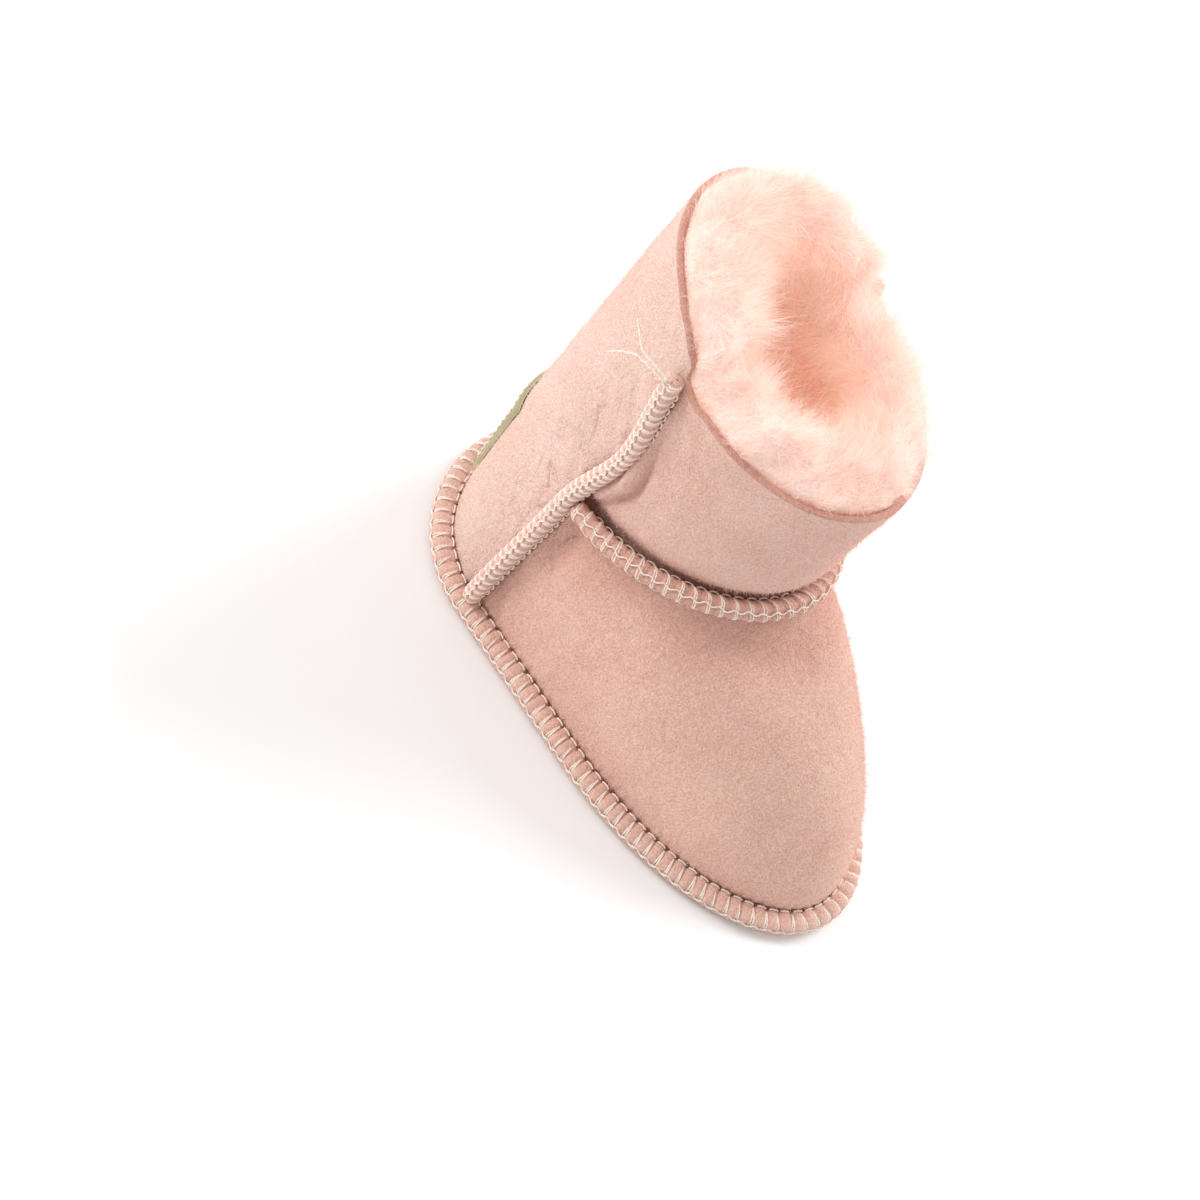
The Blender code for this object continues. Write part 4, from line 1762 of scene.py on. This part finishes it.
    def fibre_paths(self, rng: np.random.Generator, count: int, inside: bool) -> np.ndarray:
        """Curved fibres gathered into locks.

        Args:
            rng: the seeded generator.
            count: number of fibres.
            inside: whether they stand inside the opening and not on the crest.

        Returns:
            Points of every fibre as one array.
        """
        around, share = rng.random(count), rng.random(count)
        if self.region is not Region.VAMP:
            inner = self.inner_from + (1 - self.inner_from) * share ** self.inner_crowding
            share = inner if inside else self.rim_band * share
        root, stand = self.frame_at(around, share)
        locks = self.locks.shifts(root)
        start = stand + self.lock_share * locks + [0, 0, self.uplift]
        start = start + rng.normal(size=root.shape) * self.scatter
        start /= np.linalg.norm(start, axis=1)[:, None]
        bend = self.bends.shifts(root) + rng.normal(size=root.shape) * self.bend_scatter
        trimmed = smooth(share / (self.top_share * 0.5))
        length = self.fibre_length * (self.shortest + (1 - self.shortest) * trimmed)
        length *= self.shortest + self.length_spread * rng.random(len(root))
        along, across = self.curl_turns
        points = []
        for part in np.linspace(0, 1, self.fibre_points):
            reach = (length * part)[:, None]
            curl = self.curl * part * np.sin(part * along + around * across)[:, None] * locks
            way = start * reach + bend * reach * self.bend_share * part
            points.append(root - stand * self.sunk + way + curl)
        paths = np.stack(points, axis=1)
        paths[:, :, 2] -= self.pressed * np.maximum(paths[:, :, 2] - self.pressed_above, 0)
        paths[:, :, 2] = np.maximum(paths[:, :, 2], self.lowest_tip)
        return paths

    def build(self) -> list[bpy.types.Object]:
        """Make the pile's body and its fibres.

        Returns:
            The new objects.
        """
        name = self.region.value
        bm = spread_sheet(self.columns, self.rows, self.place)
        inward = Vector((0, -1, 0.3)) if self.region is Region.BACK else Vector((0, 1, 0.3))
        face_outward(bm, inward)
        body = to_object(f"{name}_pile", bm)
        if self.region is not Region.VAMP:
            # Store where the pile darkens: partly root colour, partly painted shade.
            paint(body, "depth", self.columns, self.rows, self.depth)
        made = [settle(body, self.body.material(), [f"{name}_wool"])]
        rng = np.random.default_rng(len(name))
        coats = [("fibres", self.fibre, self.fibres, False)]
        if self.inner:
            coats.append(("inner_fibres", self.inner, self.inner_fibres, True))
        for label, finish, count, inside in coats:
            paths = self.fibre_paths(rng, count, inside)
            tilts = rng.random(count) * math.pi
            piece = ribbons(f"{name}_{label}", paths, self.fibre_width, tilts)
            made.append(settle(piece, finish.material(), [f"{name}_wool"]))
        return made


@dataclass
class SoleLining:
    """The pile that the foot stands on."""

    body: Pile
    fibre: Fibre
    columns: int = 160
    rows: int = 40
    edge_drop: float = 0.004
    lumps: Ripple = Ripple(0.0010, 180, 9)
    fibres: int = 9000
    covered: float = 0.8
    fibre_length: float = 0.006
    fibre_width: float = 0.00011
    fibre_points: int = 5
    locks: Ripple = Ripple(0.8, 210, 7)
    scatter: float = 0.3
    curls: Ripple = Ripple(0.003, 330, 8)
    seed: int = 12

    def place(self, across: np.ndarray, along: np.ndarray) -> np.ndarray:
        """A lumpy pad over the sole, round at its edge.

        Args:
            across: shares of a turn round the pad.
            along: shares of its area from the middle out.

        Returns:
            One point for each pair.
        """
        low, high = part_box("sole_wool")
        angle = across * math.tau
        reach = np.sqrt(along)
        x = np.cos(angle) * reach * high.x
        y = (low.y + high.y) / 2 + np.sin(angle) * reach * (high.y - low.y) / 2
        z = high.z - self.edge_drop * reach ** 8
        points = np.stack([x, y, z], axis=1)
        points[:, 2] += self.lumps.heights(points) * (1 - reach ** 6)
        return points

    def build(self) -> list[bpy.types.Object]:
        """Make the pad and its fibres.

        Returns:
            The new objects.
        """
        bm = spread_sheet(self.columns, self.rows, self.place, wraps=True)
        face_outward(bm, Vector((0, 0, 1)))
        pad = to_object("sole_pile", bm)
        settle(pad, self.body.material(), ["sole_wool"])
        rng = np.random.default_rng(self.seed)
        root = self.place(rng.random(self.fibres), rng.random(self.fibres) * self.covered)
        lean = np.array([0, 0, 1]) + self.locks.shifts(root)
        lean += rng.normal(size=root.shape) * self.scatter
        steps = np.linspace(0, 1, self.fibre_points)[None, :, None]
        curl = self.curls.shifts(root)[:, None, :] * steps ** 2
        paths = root[:, None, :] + lean[:, None, :] * self.fibre_length * steps + curl
        tilts = rng.random(self.fibres) * math.pi
        coat = ribbons("sole_fibres", paths, self.fibre_width, tilts)
        settle(coat, self.fibre.material(), ["sole_wool"])
        return [pad, coat]


# ------------------------------------------------------------------ label and thread ends

@dataclass
class HeelLabel:
    """Woven patch on the heel, with its own stitching."""

    form: UpperForm
    tape: WovenTape
    thread: Thread
    width: float = 0.030
    low_z: float = 0.0085
    height: float = 0.023
    thickness: float = 0.0009
    hem: float = 0.0022
    hem_press: Band = Band(0.00030, 0.0, 0.0005)
    edge_round: float = 0.0006
    lift: float = 0.0003
    columns: int = 90
    rows: int = 70
    stitch: float = 0.0020
    stitch_radius: float = 0.00020
    stitch_arch: float = 0.00035
    stitch_lift: float = 0.00105
    stitch_points: int = 5
    levels: int = 200

    def lay(self, across: np.ndarray, up: np.ndarray, lift: float) -> np.ndarray:
        """Points over the heel.

        Args:
            across: 0 to 1 over the label's width.
            up: 0 to 1 over its height.
            lift: distance out from the hide.

        Returns:
            One point for each place.
        """
        around = 0.5 + (across - 0.5) * self.width / self.form.shaft(False).length()
        rises = np.linspace(0, 1, self.levels)
        heights = self.form.back(np.full(self.levels, 0.5), rises)[:, 2]
        rise = np.interp(self.low_z + self.height * up, heights, rises)
        points = self.form.back(around, rise)
        return points + self.form.normals(self.form.back, around, rise) * lift

    def place(self, across: np.ndarray, up: np.ndarray) -> np.ndarray:
        """The label's face, pressed in along its stitching.

        Args:
            across: 0 to 1 over the label's width.
            up: 0 to 1 over its height.

        Returns:
            One point for each place.
        """
        points = self.lay(across, up, self.lift)
        edge = np.minimum(np.minimum(across, 1 - across) * self.width,
                          np.minimum(up, 1 - up) * self.height)
        crown = self.thickness * smooth(edge / self.edge_round) - self.hem_press.at(edge - self.hem)
        return points + self.outward(across, up) * crown[:, None]

    def outward(self, across: np.ndarray, up: np.ndarray) -> np.ndarray:
        """Directions out from the hide."""
        probe = 0.001
        return (self.lay(across, up, probe) - self.lay(across, up, 0.0)) / probe

    def stitches(self) -> list[np.ndarray]:
        """Paths of the short stitches round the label.

        Returns:
            Points of each stitch.
        """
        wide, high = self.hem / self.width, self.hem / self.height
        corners = [(wide, high), (1 - wide, high), (1 - wide, 1 - high), (wide, 1 - high)]
        arch = self.stitch_arch * np.sin(np.linspace(0, math.pi, self.stitch_points))
        paths = []
        for start, end in zip(corners, corners[1:] + corners[:1]):
            run = math.hypot((end[0] - start[0]) * self.width, (end[1] - start[1]) * self.height)
            count = round(run / self.stitch)
            for number in range(count):
                share = (number + np.linspace(0.1, 0.9, self.stitch_points)) / count
                across = start[0] + (end[0] - start[0]) * share
                up = start[1] + (end[1] - start[1]) * share
                lift = (self.stitch_lift + arch)[:, None]
                paths.append(self.lay(across, up, 0.0) + self.outward(across, up) * lift)
        return paths

    def build(self) -> list[bpy.types.Object]:
        """Make the label and its stitching.

        Returns:
            The new objects.
        """
        bm = spread_sheet(self.columns, self.rows, self.place)
        face_outward(bm, Vector((0, 1, 0)))
        chart = bm.loops.layers.uv.new("weave")
        middle = self.low_z + self.height / 2
        for face in bm.faces:
            for loop in face.loops:
                spot = loop.vert.co
                loop[chart].uv = (spot.x / self.width + 0.5, (spot.z - middle) / self.height + 0.5)
        patch = to_object("heel_label_tape", bm)
        settle(patch, self.tape.material(), ["heel_label"])
        sewing = strands("heel_label_stitches", self.stitches(), self.stitch_radius, 1)
        settle(sewing, self.thread.material(), ["heel_label_stitching"])
        return [patch, sewing]


@dataclass
class ThreadEnds:
    """The two loose ends at the top of the right side seam, each twisted from two plies."""

    form: UpperForm
    thread: Thread
    plies: int = 2
    ply: float = 0.00016
    twist: float = 1900.0
    wrap: float = 0.8
    points: int = 90
    soften: int = 17
    rise: tuple = (0.0006, 0.0008)
    needle: tuple = ((0.0028, -0.0004, -0.0022), (0, 0, 0), (-0.0008, 0.0035, 0.0004),
                     (-0.0012, 0.0070, 0.0002), (-0.0004, 0.0100, 0.0016),
                     (0.0004, 0.0125, 0.0026))
    looper: tuple = ((0.0028, -0.0004, -0.0022), (-0.0002, 0.0002, -0.0010),
                     (-0.0011, 0.0037, -0.0007), (-0.0016, 0.0072, -0.0012),
                     (-0.0022, 0.0097, -0.0036), (-0.0026, 0.0114, -0.0062))

    def line(self, offsets: Sequence[tuple]) -> np.ndarray:
        """Smooth middle line of one end.

        Args:
            offsets: its points from the seam's tip.

        Returns:
            Points along it.
        """
        tip = self.form.back(np.zeros(1), np.full(1, 2.0))[0]
        root = tip + [-self.form.fin, *self.rise]
        knots = np.array(offsets)
        marks = np.arange(len(knots))
        line = read_rows(knots, marks, np.linspace(0, len(knots) - 1, self.points))
        kernel = np.hanning(self.soften) / np.hanning(self.soften).sum()
        half = self.soften // 2
        padded = np.pad(line, ((half, half), (0, 0)), mode="edge")
        softened = [np.convolve(column, kernel, "valid") for column in padded.T]
        return root + np.stack(softened, axis=1)

    def build(self) -> list[bpy.types.Object]:
        """Make both thread ends.

        Returns:
            The new objects.
        """
        made = []
        for node, offsets in (("needle", self.needle), ("looper", self.looper)):
            line = self.line(offsets)
            paths = []
            for ply in range(self.plies):
                angle = reached(line) * self.twist + ply * math.tau / self.plies
                around = np.stack([np.cos(angle), 0 * angle, np.sin(angle)], axis=1)
                paths.append(line + around * self.ply * self.wrap)
            piece = strands(f"{node}_thread_tail_plies", paths, self.ply, 1)
            made.append(settle(piece, self.thread.material(),
                               [f"{node}_thread_tail"]))
        return made


# ------------------------------------------------------------------ studio

@dataclass(frozen=True)
class SoftLight:
    """One soft light that looks at the bootie."""

    name: str
    away: tuple
    size: float
    power: float
    colour: tuple
    aim: tuple = (0, 0, 0.04)

    def hang(self) -> None:
        """Put the light in the scene."""
        lamp = bpy.data.lights.new(self.name, "AREA")
        lamp.shape = "DISK"
        lamp.size = self.size
        lamp.energy = self.power
        lamp.color = self.colour
        holder = bpy.data.objects.new(self.name, lamp)
        bpy.context.scene.collection.objects.link(holder)
        holder.location = self.away
        back = Vector(self.away) - Vector(self.aim)
        holder.rotation_euler = back.to_track_quat("Z", "Y").to_euler()


@dataclass(frozen=True)
class Studio:
    """Pale floor, soft lights and the camera."""

    azimuth: float = -76.5
    elevation: float = 50.0
    roll: float = 45.0
    distance: float = 0.8
    target: tuple = (0.001, 0.0199, 0.0)
    lens: float = 117.6
    clip_start: float = 0.01
    world_light: float = 0.67
    floor_size: float = 3.0
    floor: Plain = Plain("floor_white", (0.98, 0.975, 0.98))
    lights: tuple = (SoftLight("heel_light", (-0.55, 0.75, 0.60), 0.5, 5.8, (1.0, 0.99, 0.98)),
                     SoftLight("far_light", (0.75, -0.10, 0.65), 0.6, 6.5, (1.0, 0.98, 0.97)))

    def directions(self) -> tuple[Vector, Vector, Vector]:
        """The way the camera is turned.

        Returns:
            Its right, up and backward directions.
        """
        turn, rise, roll = (math.radians(v) for v in (self.azimuth, self.elevation, self.roll))
        back = Vector((math.sin(turn) * math.cos(rise), -math.cos(turn) * math.cos(rise),
                       math.sin(rise)))
        level = Vector((math.cos(turn), math.sin(turn), 0))
        upright = back.cross(level)
        right = level * math.cos(roll) + upright * math.sin(roll)
        up = upright * math.cos(roll) - level * math.sin(roll)
        return right, up, back

    def camera(self) -> None:
        """Place the camera."""
        right, up, back = self.directions()
        lens = bpy.data.cameras.new("camera")
        lens.lens = self.lens
        lens.clip_start = self.clip_start
        holder = bpy.data.objects.new("camera", lens)
        bpy.context.scene.collection.objects.link(holder)
        pose = Matrix((right, up, back)).transposed().to_4x4()
        pose.translation = Vector(self.target) + back * self.distance
        holder.matrix_world = pose
        bpy.context.scene.camera = holder

    def build(self) -> None:
        """Make floor, lights, world and camera."""
        bm = bmesh.new()
        bmesh.ops.create_grid(bm, x_segments=1, y_segments=1, size=self.floor_size)
        floor = to_object("floor", bm, False)
        floor.data.materials.append(self.floor.material())
        for light in self.lights:
            light.hang()
        bpy.context.scene.view_settings.view_transform = "Standard"
        world = bpy.data.worlds.new("studio")
        world.use_nodes = True
        sky = world.node_tree.nodes["Background"]
        sky.inputs["Color"].default_value = (1, 1, 1, 1)
        sky.inputs["Strength"].default_value = self.world_light
        bpy.context.scene.world = world
        self.camera()


# ------------------------------------------------------------------ the whole bootie

def report(pieces: Iterable[bpy.types.Object]) -> None:
    """Log each finished piece and its size in faces."""
    for piece in pieces:
        LOG.info("%s: %d faces", piece.name, len(piece.data.polygons))


def main() -> None:
    """Build the bootie piece by piece, then the studio."""
    logging.basicConfig(level=logging.INFO)
    noise.seed_set(PATTERN_SEED)
    form = UpperForm()
    layout = SeamLayout(form)
    vamp_finish = Suede("vamp_suede")
    # Painted light: the back and front panels use lighter copies of the vamp's suede, for the light
    # that falls more fully on them.
    back_finish = Suede("back_panel_suede", (0.880, 0.660, 0.575), (0.650, 0.370, 0.300))
    front_finish = Suede("front_panel_suede", (0.880, 0.610, 0.520), (0.630, 0.340, 0.270))
    panels = [
        (HidePanel(form, Region.BACK, 330, 240, back_finish), 26000),
        (HidePanel(form, Region.VAMP, 420, 110, vamp_finish), 34000),
        (HidePanel(form, Region.FRONT, 220, 110, front_finish), 16000),
    ]
    for panel, count in panels:
        report(panel.build())
        hair = toned(panel.finish.light, 1.12)
        report(Nap(panel, Fibre("nap_fibre", hair, strength=0), count).build())
    report([Sole(form, Suede("sole_suede")).build()])
    thread = Thread("sewing_thread")
    edge = Suede("seam_edge_suede", (0.87, 0.58, 0.48), (0.63, 0.33, 0.26))
    brown_edge = Suede("instep_edge_suede", (0.78, 0.47, 0.38), (0.50, 0.24, 0.19))
    # Painted shade: dark runs stand for the shade inside the needle holes.
    shade = Plain("needle_hole", (0.16, 0.06, 0.04))
    shared = (thread, shade)
    sides = [
        OverlockSeam(f"{label}_side_seam", layout.side(side), "back_panel_suede",
                     ("back_panel_hide",), f"{label}_side_overlock_thread", edge, *shared,
                     side=0.00175, height=0.0042, pitch=0.0021, puff=0.16)
        for label, side in (("right", Side.RIGHT), ("left", Side.LEFT))]
    seams = [
        OverlockSeam("sole_seam", layout.sole(), "sole_suede", ("sole_hide",),
                     "sole_overlock_thread", edge, *shared, puff=0.30),
        *sides,
        OverlockSeam("instep_seam", layout.instep(), "vamp_suede", ("vamp_hide",),
                     "instep_overlock_thread", brown_edge, *shared, puff=0.14,
                     strand=0.00017),
    ]
    for seam in seams:
        report(seam.build())
    pile = Pile("wool_pile")
    fibre = Fibre("wool_fibre")
    # Painted light: the fibres inside the opening are more orange and glow more, standing in for
    # the light that reaches the far inner wall.
    inner = Fibre("glowing_inner_wool_fibre", (1.0, 0.83, 0.73), (1.0, 0.62, 0.47), 0.16)
    report(WoolLining(form, Region.BACK, pile, fibre, inner=inner).build())
    report(WoolLining(form, Region.FRONT, pile, fibre, inner=inner).build())
    report(WoolLining(form, Region.VAMP, pile, fibre, fibres=6000, rows=40).build())
    report(SoleLining(pile, fibre).build())
    report(HeelLabel(form, WovenTape("label_weave"), thread).build())
    report(ThreadEnds(form, thread).build())
    Studio().build()


if __name__ == "__main__":
    main()
